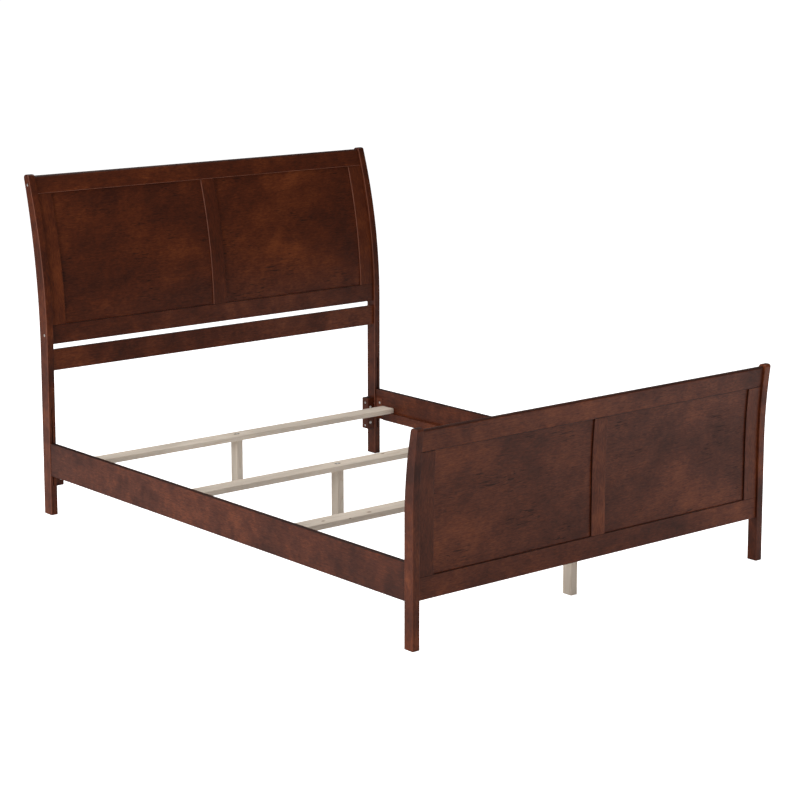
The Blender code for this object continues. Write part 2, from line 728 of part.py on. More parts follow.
def hook_plate_outline():
    """A hook plate in (s, z): s runs into the post from its face, and z is 0 at the pin."""
    half = PLATE_HEIGHT / 2
    throat = PIN_RADIUS + PIN_FIT
    seat_low = PIN_FROM_FACE - throat
    seat_high = PIN_FROM_FACE + throat
    arc = []
    for k in range(7):
        angle = math.pi * k / 6
        arc.append((PIN_FROM_FACE - throat * math.cos(angle), throat * math.sin(angle)))
    claw = [(seat_high, -TONGUE_DROP), (TONGUE_LENGTH, -TONGUE_DROP + 0.0015)]
    crown = [(TONGUE_LENGTH, TONGUE_RISE - 0.004), (TONGUE_LENGTH - 0.004, TONGUE_RISE)]
    root = [(-FIT, TONGUE_RISE), (-FIT, half), (-PLATE_IN_RAIL, half), (-PLATE_IN_RAIL, -half), (-FIT, -half)]
    return root + [(-FIT, -TONGUE_DROP), (seat_low, -TONGUE_DROP)] + arc + claw + crown


def hook_plates(steel):
    for side, name in ((-1, "left"), (1, "right")):
        for end, (face_y, into) in RAIL_ENDS.items():
            outline = [(face_y + into * s, RAIL_MIDDLE + z) for s, z in hook_plate_outline()]
            centre = side * SLOT_X
            x_low, x_high = centre - PLATE_THICKNESS / 2, centre + PLATE_THICKNESS / 2
            plate = extruded_across(f"hook_plate_{end}_{name}", outline, x_low, x_high, steel)
            seat = screw_place(side, face_y, into)
            bore = PLATE_SCREW_RADIUS + FIT
            cut(plate, round_cutter(f"plate_hole_{end}_{name}", bore, seat, (side, 0, 0), RAIL_THICKNESS))
            profile = bolt_profile(
                PLATE_SCREW_HEAD_RADIUS, PLATE_SCREW_HEAD_HEIGHT, PLATE_SCREW_RADIUS, PLATE_SCREW_LENGTH
            )
            place = (seat[0] - side * FIT, seat[1], seat[2])
            turned(f"plate_screw_{end}_{name}", profile, place, (-side, 0, 0), steel)
            inner, length = pin_place(side, face_y, into)
            ease_end = 0.0006
            pin = [(0.0, 0.0), (PIN_RADIUS - ease_end, 0.0), (PIN_RADIUS, ease_end)]
            pin += [(PIN_RADIUS, length - ease_end), (PIN_RADIUS - ease_end, length), (0.0, length)]
            turned(f"hook_pin_{end}_{name}", pin, inner, (side, 0, 0), steel)


def cleats(finish):
    for side, name in ((-1, "left"), (1, "right")):
        outer = RAIL_INNER_X - FIT
        x_low, x_high = sorted((side * (outer - CLEAT_DEPTH), side * outer))
        low = (x_low, FOOT_INNER_Y + CLEAT_END_GAP, CLEAT_BOTTOM)
        high = (x_high, HEAD_FACE_Y - CLEAT_END_GAP, CLEAT_TOP)
        ease(block(f"slat_cleat_{name}", low, high, finish), CLEAT_EASE)


def slat_front_edges():
    """The foot-side edge of each slat, counted from the head, the middle ones drawn together a little."""
    first = HEAD_FACE_Y - HEAD_SLAT_GAP - SLAT_WIDTH
    last = FOOT_INNER_Y + FOOT_SLAT_GAP
    edges = [first + (last - first) * i / (SLAT_COUNT - 1) for i in range(SLAT_COUNT)]
    for i in range(1, SLAT_COUNT - 1):
        towards_middle = -1 if edges[i] > (first + last) / 2 else 1
        edges[i] += towards_middle * MIDDLE_SLAT_DRAW
    return edges


def slats_and_legs(finish, steel):
    half_length = RAIL_INNER_X - SLAT_END_GAP
    for number, y_low in enumerate(slat_front_edges(), 1):
        low = (-half_length, y_low, SLAT_BOTTOM)
        high = (half_length, y_low + SLAT_WIDTH, SLAT_TOP)
        slat = block(f"slat_{number}", low, high, finish)
        ease(slat, SLAT_EASE, 1)
        middle_y = y_low + SLAT_WIDTH / 2
        leg_low = (-LEG_WIDTH / 2, middle_y - LEG_DEPTH / 2, 0.0)
        leg_high = (LEG_WIDTH / 2, middle_y + LEG_DEPTH / 2, SLAT_BOTTOM - FIT)
        leg = block(f"centre_leg_{number}", leg_low, leg_high, finish)
        ease(leg, LEG_EASE, 1)
        seat = (0.0, middle_y, SLAT_TOP - LEG_SCREW_SUNK)
        length = SLAT_THICKNESS + LEG_SCREW_IN_LEG
        profile = flush_profile(LEG_SCREW_HEAD_RADIUS, LEG_SCREW_HEAD_HEIGHT, LEG_SCREW_RADIUS, length)
        turned(f"leg_screw_{number}", profile, seat, (0, 0, 1), steel)
        head = LEG_SCREW_HEAD_RADIUS + FIT
        shank = LEG_SCREW_RADIUS + FIT
        sink = [(0.0, LEG_SCREW_SUNK + HOLE_OVERRUN), (head, LEG_SCREW_SUNK + HOLE_OVERRUN), (head, -FIT)]
        sink += [(shank, -LEG_SCREW_HEAD_HEIGHT - FIT), (shank, -length - FIT), (0.0, -length - FIT)]
        cutter = turned(f"screw_cutter_{number}", sink, seat, (0, 0, 1), None, HOLE_SIDES)
        cut(slat, cutter)
        cut(leg, cutter)


def corner_blocks(finish, steel):
    for side, name in ((-1, "left"), (1, "right")):
        outer = POST_INNER_X - FIT
        x_low, x_high = sorted((side * (outer - BLOCK_WIDTH), side * outer))
        y_low = HEAD_FACE_Y + BLOCK_SETBACK
        low = (x_low, y_low, BLOCK_BOTTOM)
        high = (x_high, y_low + BLOCK_DEPTH, BLOCK_BOTTOM + BLOCK_HEIGHT)
        corner = block(f"corner_block_{name}", low, high, finish)
        ease(corner, BLOCK_EASE)
        for level, step in (("low", 0), ("high", 1)):
            bolt_x = side * (outer - BLOCK_WIDTH + BLOCK_BOLT_FROM_INSIDE)
            seat = (bolt_x, y_low - FIT, BLOCK_BOTTOM + BLOCK_BOLT_RISE + step * BLOCK_BOLT_SPACING)
            profile = bolt_profile(
                BLOCK_BOLT_HEAD_RADIUS, BLOCK_BOLT_HEAD_HEIGHT, BLOCK_BOLT_RADIUS, BLOCK_BOLT_LENGTH
            )
            turned(f"block_bolt_{level}_{name}", profile, seat, (0, -1, 0), steel)
            start = (seat[0], seat[1] - HOLE_OVERRUN, seat[2])
            bore = BLOCK_BOLT_RADIUS + FIT
            depth = HOLE_OVERRUN + BLOCK_BOLT_LENGTH + FIT
            cut(corner, round_cutter(f"block_bore_{level}_{name}", bore, start, (0, 1, 0), depth))


def frame_bolts(steel):
    length = POST_WIDTH - FRAME_BOLT_SUNK + FRAME_BOLT_IN_RAIL
    profile = bolt_profile(FRAME_BOLT_HEAD_RADIUS, FRAME_BOLT_HEAD_HEIGHT, FRAME_BOLT_RADIUS, length)
    for side, name in ((-1, "left"), (1, "right")):
        for rail, heights in BOLTED_RAILS.items():
            seat = frame_bolt_place(side, *heights)
            turned(f"frame_bolt_{rail}_{name}", profile, seat, (side, 0, 0), steel)


def build():
    walnut = material("walnut_stain", (0.115, 0.043, 0.028), 0.38)
    walnut_panel = material("walnut_panel", (0.098, 0.036, 0.024), 0.42)
    pine = material("unfinished_pine", (0.62, 0.52, 0.40), 0.75)
    steel = material("zinc_plated_steel", (0.62, 0.60, 0.56), 0.32, 1.0)
    head_posts(walnut)
    foot_posts(walnut)
    frame_rails(walnut)
    head_opening = (HEAD_BOTTOM_RAIL_TOP, HEAD_TOP_RAIL_BOTTOM)
    foot_opening = (FOOT_BOTTOM_RAIL_TOP, FOOT_TOP_RAIL_BOTTOM)
    finishes = (walnut, walnut_panel)
    stiles_and_panels("headboard", head_frame_y, HEAD_FRONT_CURVE_START, *head_opening, *finishes)
    stiles_and_panels("footboard", foot_frame_y, FOOT_FRONT_CURVE_START, *foot_opening, *finishes)
    side_rails(walnut)
    hook_plates(steel)
    cleats(walnut)
    slats_and_legs(pine, steel)
    corner_blocks(walnut, steel)
    frame_bolts(steel)


for leftover in list(bpy.data.objects):
    bpy.data.objects.remove(leftover, do_unlink=True)
build()
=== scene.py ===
"""Sleigh bed, queen size: the looks of its stained walnut frame, pine slats and steel fittings.

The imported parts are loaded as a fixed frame. The joinery keeps its cut shape in merged copies with eased
edges, and the panels, slats, legs and fasteners are made from the sizes of the parts that they stand for.
X runs across the bed, Y from foot to head and Z up, in metres.
"""

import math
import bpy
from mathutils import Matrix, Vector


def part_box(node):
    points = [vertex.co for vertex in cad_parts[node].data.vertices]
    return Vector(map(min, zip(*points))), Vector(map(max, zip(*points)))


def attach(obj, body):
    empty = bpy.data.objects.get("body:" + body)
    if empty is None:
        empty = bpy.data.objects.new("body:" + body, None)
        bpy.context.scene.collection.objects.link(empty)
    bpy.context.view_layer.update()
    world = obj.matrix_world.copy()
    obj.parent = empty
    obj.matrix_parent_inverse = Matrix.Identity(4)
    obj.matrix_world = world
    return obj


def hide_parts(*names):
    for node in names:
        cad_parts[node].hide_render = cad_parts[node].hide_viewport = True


bl_info = {
    "name": "Sleigh bed",
    "version": (1, 0, 0),
    "blender": (4, 5, 0),
    "location": "View3D > Sidebar > Sleigh bed",
    "description": "Builds the pieces and finishes of a frame-and-panel sleigh bed around its packed parts",
    "category": "Object",
}

import bmesh
import bpy
from mathutils import Vector

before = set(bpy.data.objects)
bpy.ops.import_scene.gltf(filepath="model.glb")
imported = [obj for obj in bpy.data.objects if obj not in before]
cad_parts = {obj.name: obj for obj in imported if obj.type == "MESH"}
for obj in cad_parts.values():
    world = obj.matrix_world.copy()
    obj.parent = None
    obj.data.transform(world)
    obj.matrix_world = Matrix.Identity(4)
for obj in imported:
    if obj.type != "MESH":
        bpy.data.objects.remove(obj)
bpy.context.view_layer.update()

BODY = "root"
MERGE_DISTANCE = 0.00002
FLAT_ANGLE = math.radians(0.2)
SHARP_ANGLE = math.radians(32.0)

# Curves of the two boards: where each starts to swing, its radius, and which way along Y it swings.
HEAD_CURVE = (0.65, 1.85, 1.0)
FOOT_CURVE = (0.42, 1.85, -1.0)
NO_CURVE = (10.0, 1.85, 0.0)

BOARDS = ("headboard", "footboard")
WALNUT_NODES = {
    "posts": [f"{board}_post_{side}" for board in BOARDS for side in ("left", "right")],
    "rails": [
        "headboard_top_rail",
        "headboard_bottom_rail",
        "headboard_lower_rail",
        "footboard_top_rail",
        "footboard_bottom_rail",
    ],
    "stiles": [f"{board}_stile_{where}" for board in BOARDS for where in ("left", "centre", "right")],
    "panels": [f"{board}_panel_{where}" for board in BOARDS for where in ("left", "right")],
}
SLAT_NUMBERS = (1, 2, 3, 4)


# Sizes and colours that a user would change


def colour_setting(name, description, default):
    return bpy.props.FloatVectorProperty(
        name=name, description=description, subtype="COLOR", size=3, default=default
    )


def number_setting(name, description, default, **more):
    return bpy.props.FloatProperty(name=name, description=description, default=default, **more)


def roughness_setting(description, default):
    return number_setting("Roughness", description, default, subtype="FACTOR", min=0.0, max=1.0)


def edge_setting(name, description, default):
    return number_setting(name, description, default, unit="LENGTH", min=0.0002, max=0.01)


def power_setting(name, description, default):
    return number_setting(name, description, default, unit="POWER")


class WalnutFinish(bpy.types.PropertyGroup):
    dark: colour_setting("Dark blotches", "Colour where the stain soaked in most", (0.044, 0.0092, 0.0037))
    middle: colour_setting("Stain", "Main colour of the stain", (0.095, 0.0205, 0.0070))
    light: colour_setting(
        "Light figure", "Colour where the wood shows through the stain", (0.205, 0.0500, 0.0155)
    )
    # Colour of the painted highlights on eased edges and recess sides, also used for the bare wood of the
    # side rails' pocket floors.
    highlight_and_bare: colour_setting(
        "Rubbed edges", "Colour of the eased edges, where the stain is thin", (0.40, 0.160, 0.105)
    )
    roughness: roughness_setting("Dullness of the lacquer", 0.36)


class PineFinish(bpy.types.PropertyGroup):
    early_wood: colour_setting("Early wood", "Colour of the pale bands of the grain", (0.83, 0.725, 0.610))
    late_wood: colour_setting("Late wood", "Colour of the darker lines of the grain", (0.71, 0.575, 0.450))
    knot: colour_setting("Knots", "Colour of the knots", (0.30, 0.175, 0.095))
    # Colour of the painted shadow round each leg screw, standing in for a countersink that the slats don't
    # have.
    shadow: colour_setting(
        "Countersinks", "Colour of the countersinks round the screws", (0.035, 0.028, 0.024)
    )
    roughness: roughness_setting("Dullness of the bare planed wood", 0.72)


class SteelFinish(bpy.types.PropertyGroup):
    zinc: colour_setting("Zinc", "Colour of the plating", (0.93, 0.91, 0.88))
    dulled: colour_setting("Dulled zinc", "Colour where the plating has dulled", (0.70, 0.68, 0.65))


class BedSizes(bpy.types.PropertyGroup):
    rail_edge: edge_setting("Panel edge", "Width of the eased edge round each panel", 0.0013)
    panel_rows: bpy.props.IntProperty(
        name="Panel rows",
        description="Rows of faces that follow a panel's curve",
        default=40,
        min=4,
        max=200,
    )
    slat_edge: edge_setting("Slat edge", "Radius of a slat's and a leg's planed edges", 0.0014)
    middle_draw: number_setting(
        "Middle slat draw", "How far the two middle slats are drawn together", 0.0115, unit="LENGTH"
    )


class StudioSettings(bpy.types.PropertyGroup):
    camera_place: bpy.props.FloatVectorProperty(
        name="Camera place",
        description="Where the camera stands",
        subtype="TRANSLATION",
        unit="LENGTH",
        size=3,
        default=(-5.0798, -6.1892, 2.2062),
    )
    azimuth: number_setting(
        "Azimuth",
        "How far the camera looks round from the bed's length",
        math.radians(-39.8029),
        subtype="ANGLE",
    )
    pitch: number_setting("Pitch", "How far the camera looks down", math.radians(9.5567), subtype="ANGLE")
    lens: number_setting("Lens", "Focal length of the camera in millimetres", 102.58, unit="CAMERA")
    shift: number_setting(
        "Shift", "Vertical shift of the lens, which keeps the posts close to upright", -0.125
    )
    key_power: power_setting("Key light", "Power of the soft box at the bed's left", 215.0)
    top_power: power_setting("Top light", "Power of the soft box above the bed", 132.0)
    front_power: power_setting("Front light", "Power of the soft box beyond the foot of the bed", 76.0)
    back_power: power_setting("Back light", "Power of the soft box beyond the head of the bed", 85.0)
    floor_power: power_setting(
        "Floor light", "Power of the soft box that lights the floor beyond the footboard", 66.0
    )
    fill: number_setting("Fill", "Strength of the even light from all round", 0.065)


# Shader nodes


def node(tree, kind, values=None, **settings):
    """A new node. values are its inputs: a socket is linked, and anything else is set."""
    made = tree.nodes.new(kind)
    for key, value in settings.items():
        setattr(made, key, value)
    for key, value in (values or {}).items():
        if isinstance(value, bpy.types.NodeSocket):
            tree.links.new(value, made.inputs[key])
        else:
            made.inputs[key].default_value = value
    return made


def calc(tree, operation, first, second=0.0, clamp=False):
    """The result of a Math node."""
    values = {0: first, 1: second}
    return node(tree, "ShaderNodeMath", values, operation=operation, use_clamp=clamp).outputs[0]


def remap(tree, value, low, high, to_low=0.0, to_high=1.0):
    """value moved smoothly from the range low..high to the range to_low..to_high."""
    values = {"Value": value, "From Min": low, "From Max": high, "To Min": to_low, "To Max": to_high}
    return node(tree, "ShaderNodeMapRange", values, interpolation_type="SMOOTHSTEP").outputs[0]


def stretched(tree, vector, scale):
    values = {"Vector": vector, "Scale": scale}
    return node(tree, "ShaderNodeMapping", values).outputs[0]


def noise(tree, vector, scale, detail=2.0, roughness=0.5, distortion=0.0):
    """Noise on vector, with scale features to the metre along each axis."""
    values = {
        "Vector": stretched(tree, vector, scale),
        "Scale": 1.0,
        "Detail": detail,
        "Roughness": roughness,
        "Distortion": distortion,
    }
    return node(tree, "ShaderNodeTexNoise", values).outputs[0]


def blend_colours(tree, share, first, second, way="MIX"):
    made = node(tree, "ShaderNodeMix", data_type="RGBA", blend_type=way)
    for key, value in ((0, share), (6, first), (7, second)):
        if isinstance(value, bpy.types.NodeSocket):
            tree.links.new(value, made.inputs[key])
        elif key:
            made.inputs[key].default_value = (*value[:3], 1.0)
        else:
            made.inputs[key].default_value = value
    return made.outputs[2]


def new_group(name, inputs, outputs):
    """A shader node group with its named sockets, and its input and output nodes."""
    tree = bpy.data.node_groups.new(name, "ShaderNodeTree")
    for label, kind, value in inputs:
        socket = tree.interface.new_socket(label, in_out="INPUT", socket_type=kind)
        if value is not None:
            socket.default_value = value
    for label, kind in outputs:
        tree.interface.new_socket(label, in_out="OUTPUT", socket_type=kind)
    return tree, tree.nodes.new("NodeGroupInput").outputs, tree.nodes.new("NodeGroupOutput").inputs


def group_node(tree, group, values):
    made = tree.nodes.new("ShaderNodeGroup")
    made.node_tree = group
    for key, value in values.items():
        if isinstance(value, bpy.types.NodeSocket):
            tree.links.new(value, made.inputs[key])
        else:
            made.inputs[key].default_value = value
    return made.outputs


FLOAT, VECTOR = "NodeSocketFloat", "NodeSocketVector"


def unbent_group():
    """Takes the swing of a curved board out of a point, so that a pattern follows the board."""
    tree, given, made = new_group(
        "unbent_board",
        [("Vector", VECTOR, None), ("Start", FLOAT, 0.65), ("Radius", FLOAT, 1.85), ("Swing", FLOAT, 1.0)],
        [("Vector", VECTOR)],
    )
    point = node(tree, "ShaderNodeSeparateXYZ", {0: given["Vector"]}).outputs
    rise = calc(tree, "MAXIMUM", calc(tree, "SUBTRACT", point["Z"], given["Start"]), 0.0)
    squares = calc(
        tree,
        "SUBTRACT",
        calc(tree, "MULTIPLY", given["Radius"], given["Radius"]),
        calc(tree, "MULTIPLY", rise, rise),
    )
    lean = calc(tree, "SUBTRACT", given["Radius"], calc(tree, "SQRT", squares))
    straight = calc(tree, "SUBTRACT", point["Y"], calc(tree, "MULTIPLY", lean, given["Swing"]))
    result = node(tree, "ShaderNodeCombineXYZ", {"X": point["X"], "Y": straight, "Z": point["Z"]})
    tree.links.new(result.outputs[0], made["Vector"])
    return tree


def shifted_point(tree, point, board):
    """The point moved far off by the board's number, so that no two boards share a figure."""
    away = node(tree, "ShaderNodeCombineXYZ")
    for axis, step in (("X", 7.31), ("Y", 3.17), ("Z", 5.73)):
        tree.links.new(calc(tree, "MULTIPLY", board, step), away.inputs[axis])
    return node(tree, "ShaderNodeVectorMath", {0: point, 1: away.outputs[0]}, operation="ADD").outputs[0]


# The layers of the stained wood's figure, with the grain along the first axis: features to the metre along
# each axis, then the noise's detail, roughness and distortion.
WALNUT_LAYERS = {
    "wander": ((2.4, 5.0, 5.0), 2.0),
    "broad": ((2.4, 4.4, 4.4), 3.0, 0.5, 0.5),
    "figure": ((6.0, 15.0, 15.0), 2.0, 0.5, 0.8),
    "cloud": ((15.0, 13.0, 13.0), 3.0, 0.55, 0.3),
    "mottle": ((70.0, 80.0, 80.0), 2.0, 0.5),
    "fibre": ((9.0, 170.0, 170.0), 3.0, 0.6),
    "fleck": ((60.0, 380.0, 380.0), 2.0, 0.55),
    "pore": ((70.0, 1300.0, 1300.0), 1.0, 0.6),
    "stroke": ((42.0, 330.0, 330.0), 1.0, 0.5),
    "split": ((22.0, 300.0, 300.0), 1.0, 0.5),
    "patch": ((6.0, 11.0, 11.0), 1.0),
}
# How strongly each layer moves the tone.
LAYER_DEPTHS = {
    "broad": 0.95,
    "mottle": 0.20,
    "cloud": 0.60,
    "figure": 1.0,
    "fibre": 0.36,
    "fleck": 0.72,
    "pore": 0.30,
}
# How far the fibres wander across the grain, in metres, and how the figure is turned against them.
GRAIN_WANDER = 0.05
FIGURE_TURN = (0.5, 0.55, 0.5)
# Where the noise starts and ends to be a dark stroke, a crack, and a patch of cracks.
STROKE_RANGE, SPLIT_RANGE, PATCH_RANGE = (0.60, 0.70), (0.60, 0.66), (0.57, 0.64)
STROKE_DEPTH = 0.42
# How much the fibres and the pores raise the surface.
FIBRE_HEIGHT, PORE_HEIGHT = 0.6, 0.4


def layered(tree, **layers):
    """The sum of the named layers, each about zero and as strong as LAYER_DEPTHS says."""
    total = 0.0
    for name, layer in layers.items():
        swayed = calc(tree, "MULTIPLY", calc(tree, "SUBTRACT", layer, 0.5), LAYER_DEPTHS[name])
        total = calc(tree, "ADD", total, swayed)
    return total


def walnut_figure_group():
    """The figure of stained wood, with the grain along X of the vector that it is given."""
    tree, given, made = new_group(
        "walnut_figure",
        [
            ("Vector", VECTOR, None),
            ("Board", FLOAT, 0.0),
            ("Blotches", FLOAT, 1.0),
            ("Clouds", FLOAT, 1.0),
            ("Figure", FLOAT, 0.0),
            ("Fibres", FLOAT, 1.0),
            ("Strokes", FLOAT, 1.0),
            ("Cracks", FLOAT, 1.0),
        ],
        [("Tone", FLOAT), ("Crack", FLOAT), ("Height", FLOAT)],
    )

    def layer(name, vector):
        return noise(tree, vector, *WALNUT_LAYERS[name])

    def times(value, share):
        return calc(tree, "MULTIPLY", value, share)

    point = shifted_point(tree, given["Vector"], given["Board"])
    aside = node(tree, "ShaderNodeCombineXYZ", {"Y": times(layer("wander", point), GRAIN_WANDER)}).outputs[0]
    wavy = node(tree, "ShaderNodeVectorMath", {0: point, 1: aside}, operation="ADD").outputs[0]
    turned = node(tree, "ShaderNodeMapping", {"Vector": point, "Rotation": FIGURE_TURN}).outputs[0]
    fibre, pore = layer("fibre", wavy), layer("pore", wavy)
    blotches = layered(tree, broad=layer("broad", point), mottle=layer("mottle", point))
    clouds = layered(tree, cloud=layer("cloud", point))
    waves = layered(tree, figure=layer("figure", turned))
    lines = layered(tree, fibre=fibre, fleck=layer("fleck", wavy), pore=pore)
    patches = calc(tree, "ADD", times(blotches, given["Blotches"]), times(clouds, given["Clouds"]))
    grain = calc(tree, "ADD", times(waves, given["Figure"]), times(lines, given["Fibres"]))
    tone = calc(tree, "ADD", patches, grain)
    tree.links.new(calc(tree, "ADD", tone, 0.5, clamp=True), made["Tone"])
    stroke = times(remap(tree, layer("stroke", wavy), *STROKE_RANGE), STROKE_DEPTH)
    patch = remap(tree, layer("patch", point), *PATCH_RANGE)
    crack = times(remap(tree, layer("split", wavy), *SPLIT_RANGE), patch)
    dark = calc(tree, "MAXIMUM", times(stroke, given["Strokes"]), times(crack, given["Cracks"]))
    tree.links.new(dark, made["Crack"])
    height = calc(tree, "ADD", times(fibre, FIBRE_HEIGHT), times(pore, PORE_HEIGHT))
    tree.links.new(calc(tree, "SUBTRACT", height, dark), made["Height"])
    return tree


def end_line_group():
    """A fine dark line where stain gathers at the two ends of a board, along X of the vector."""
    tree, given, made = new_group(
        "end_line",
        [("Vector", VECTOR, None), ("Ends", VECTOR, None), ("Width", FLOAT, 0.0016)],
        [("Line", FLOAT)],
    )
    along = node(tree, "ShaderNodeSeparateXYZ", {0: given["Vector"]}).outputs["X"]
    ends = node(tree, "ShaderNodeSeparateXYZ", {0: given["Ends"]}).outputs
    near = calc(
        tree, "MINIMUM", calc(tree, "SUBTRACT", along, ends["X"]), calc(tree, "SUBTRACT", ends["Y"], along)
    )
    share = calc(tree, "DIVIDE", near, given["Width"])
    tree.links.new(calc(tree, "SUBTRACT", 1.0, remap(tree, share, 0.0, 1.0)), made["Line"])
    return tree


def pine_grain_group():
    """The pale and dark bands of planed pine, with the grain along X of the vector."""
    tree, given, made = new_group(
        "pine_grain",
        [("Vector", VECTOR, None), ("Board", FLOAT, 0.0)],
        [("Late", FLOAT), ("Tone", FLOAT), ("Height", FLOAT)],
    )
    point = shifted_point(tree, given["Vector"], given["Board"])
    ring = noise(tree, point, (0.9, 16.0, 16.0), 1.0, 0.4)
    bands = calc(tree, "FRACT", calc(tree, "MULTIPLY", ring, 17.0))
    late = calc(tree, "POWER", bands, 2.6)
    fibre = noise(tree, point, (16.0, 600.0, 600.0), 3.0, 0.6)
    tone = noise(tree, point, (3.0, 12.0, 12.0), 2.0)
    tree.links.new(calc(tree, "ADD", late, calc(tree, "SUBTRACT", fibre, 0.55), clamp=True), made["Late"])
    tree.links.new(tone, made["Tone"])
    tree.links.new(calc(tree, "ADD", calc(tree, "MULTIPLY", late, 0.5), fibre), made["Height"])
    return tree


def knot_group():
    """A small round knot about a centre."""
    tree, given, made = new_group(
        "knot",
        [("Vector", VECTOR, None), ("Centre", VECTOR, None), ("Radius", FLOAT, 0.006)],
        [("Knot", FLOAT)],
    )
    apart = node(
        tree, "ShaderNodeVectorMath", {0: given["Vector"], 1: given["Centre"]}, operation="SUBTRACT"
    ).outputs[0]
    flat = stretched(tree, apart, (0.62, 1.0, 1.0))
    distance = node(tree, "ShaderNodeVectorMath", {0: flat}, operation="LENGTH").outputs["Value"]
    rough = calc(tree, "MULTIPLY", noise(tree, given["Vector"], (300.0, 300.0, 300.0), 2.0), 0.6)
    share = calc(tree, "ADD", calc(tree, "DIVIDE", distance, given["Radius"]), rough)
    tree.links.new(calc(tree, "SUBTRACT", 1.0, remap(tree, share, 0.7, 1.5)), made["Knot"])
    return tree


def plating_group():
    """Fine marks and dull patches on plated steel."""
    tree, given, made = new_group(
        "plating", [("Vector", VECTOR, None)], [("Dull", FLOAT), ("Scratch", FLOAT)]
    )
    patch = noise(tree, given["Vector"], (240.0, 240.0, 240.0), 3.0)
    fine = noise(tree, given["Vector"], (3000.0, 3000.0, 400.0), 2.0)
    tree.links.new(remap(tree, patch, 0.40, 0.66), made["Dull"])
    tree.links.new(fine, made["Scratch"])
    return tree


GROUPS = {}
GRAIN_TURN = {"x": (0.0, 0.0, 0.0), "y": (0.0, 0.0, -math.pi / 2), "z": (0.0, math.pi / 2, 0.0)}


def group(name):
    makers = {
        "unbent_board": unbent_group,
        "walnut_figure": walnut_figure_group,
        "end_line": end_line_group,
        "pine_grain": pine_grain_group,
        "knot": knot_group,
        "plating": plating_group,
    }
    if name not in GROUPS:
        GROUPS[name] = makers[name]()
    return GROUPS[name]


def attribute(tree, name, output):
    return node(tree, "ShaderNodeAttribute", attribute_name=name, attribute_type="GEOMETRY").outputs[output]


def bump(tree, shader, height, strength, distance):
    """Raises a material's surface by height, a value that changes over it."""
    raised = node(tree, "ShaderNodeBump", {"Height": height, "Strength": strength, "Distance": distance})
    tree.links.new(raised.outputs[0], shader["Normal"])


def new_material(name):
    made = bpy.data.materials.new(name)
    made.use_nodes = True
    tree = made.node_tree
    return made, tree, tree.nodes["Principled BSDF"].inputs


# Where the stain's three colours stand on the scale of tones, and how much the tone differs between boards.
STAIN_STOPS = (0.16, 0.52, 0.88)
BOARD_SPREAD = 0.10
# How far cracks, the ends of boards, painted shade, and painted highlights with the bare wood of the side
# rails' pockets change the colour.
CRACK_SHARE, END_SHARE, PAINTED_SHADE_SHARE, HIGHLIGHT_AND_BARE_SHARE = 0.75, 0.7, 0.9, 0.8
# The colour of cracks, dark board ends and painted shade, as a share of the dark blotches' colour.
NEAR_BLACK = 0.28
LACQUER_SPECULAR = 0.23


def walnut(name, grain, curve=NO_CURVE, tone=0.0, **figure_values):
    """Stained and lacquered wood, with its grain along one axis of the bed, following a board's curve."""
    if name in bpy.data.materials:
        return bpy.data.materials[name]
    finish = bpy.context.scene.walnut_finish
    made, tree, shader = new_material(name)
    place = node(tree, "ShaderNodeTexCoord").outputs["Object"]
    start, radius, swing_way = curve
    if swing_way:
        values = {"Vector": place, "Start": start, "Radius": radius, "Swing": swing_way}
        place = group_node(tree, group("unbent_board"), values)["Vector"]
    place = node(tree, "ShaderNodeMapping", {"Vector": place, "Rotation": GRAIN_TURN[grain]}).outputs[0]
    board = attribute(tree, "board", "Fac")
    values = {"Vector": place, "Board": board, "Figure": 0.15, "Cracks": 0.3}
    figure = group_node(tree, group("walnut_figure"), {**values, **figure_values})
    from_middle = calc(tree, "SUBTRACT", calc(tree, "FRACT", board), 0.5)
    board_tone = calc(tree, "MULTIPLY", from_middle, BOARD_SPREAD)
    level = calc(tree, "ADD", calc(tree, "ADD", figure["Tone"], board_tone), tone, clamp=True)
    ramp = node(tree, "ShaderNodeValToRGB", {0: level})
    stops = ramp.color_ramp.elements
    stops[0].position, stops[0].color = STAIN_STOPS[0], (*finish.dark, 1.0)
    stops[1].position, stops[1].color = STAIN_STOPS[2], (*finish.light, 1.0)
    stops.new(STAIN_STOPS[1]).color = (*finish.middle, 1.0)
    values = {"Vector": place, "Ends": attribute(tree, "board_ends", "Vector")}
    line = calc(tree, "MULTIPLY", group_node(tree, group("end_line"), values)["Line"], END_SHARE)
    edge = attribute(tree, "edge_tone", "Fac")
    shade = calc(tree, "MAXIMUM", calc(tree, "MULTIPLY", figure["Crack"], CRACK_SHARE), line)
    # Negative edge tones are painted shade along eased edges, recess sides and top faces.
    shade = calc(tree, "MAXIMUM", shade, calc(tree, "MULTIPLY", edge, -PAINTED_SHADE_SHARE))
    near_black = tuple(NEAR_BLACK * value for value in finish.dark)
    colour = blend_colours(tree, shade, ramp.outputs[0], near_black)
    # Positive edge tones blend in the painted highlights, and the bare wood of the side rails' pocket
    # floors.
    highlight_and_bare = calc(tree, "MULTIPLY", edge, HIGHLIGHT_AND_BARE_SHARE, clamp=True)
    colour = blend_colours(tree, highlight_and_bare, colour, finish.highlight_and_bare)
    tree.links.new(colour, shader["Base Color"])
    dull = remap(tree, figure["Tone"], 0.2, 0.8, finish.roughness + 0.06, finish.roughness - 0.05)
    tree.links.new(calc(tree, "ADD", dull, calc(tree, "MULTIPLY", shade, 0.2)), shader["Roughness"])
    shader["Specular IOR Level"].default_value = LACQUER_SPECULAR
    bump(tree, shader, figure["Height"], 0.22, 0.0004)
    return made


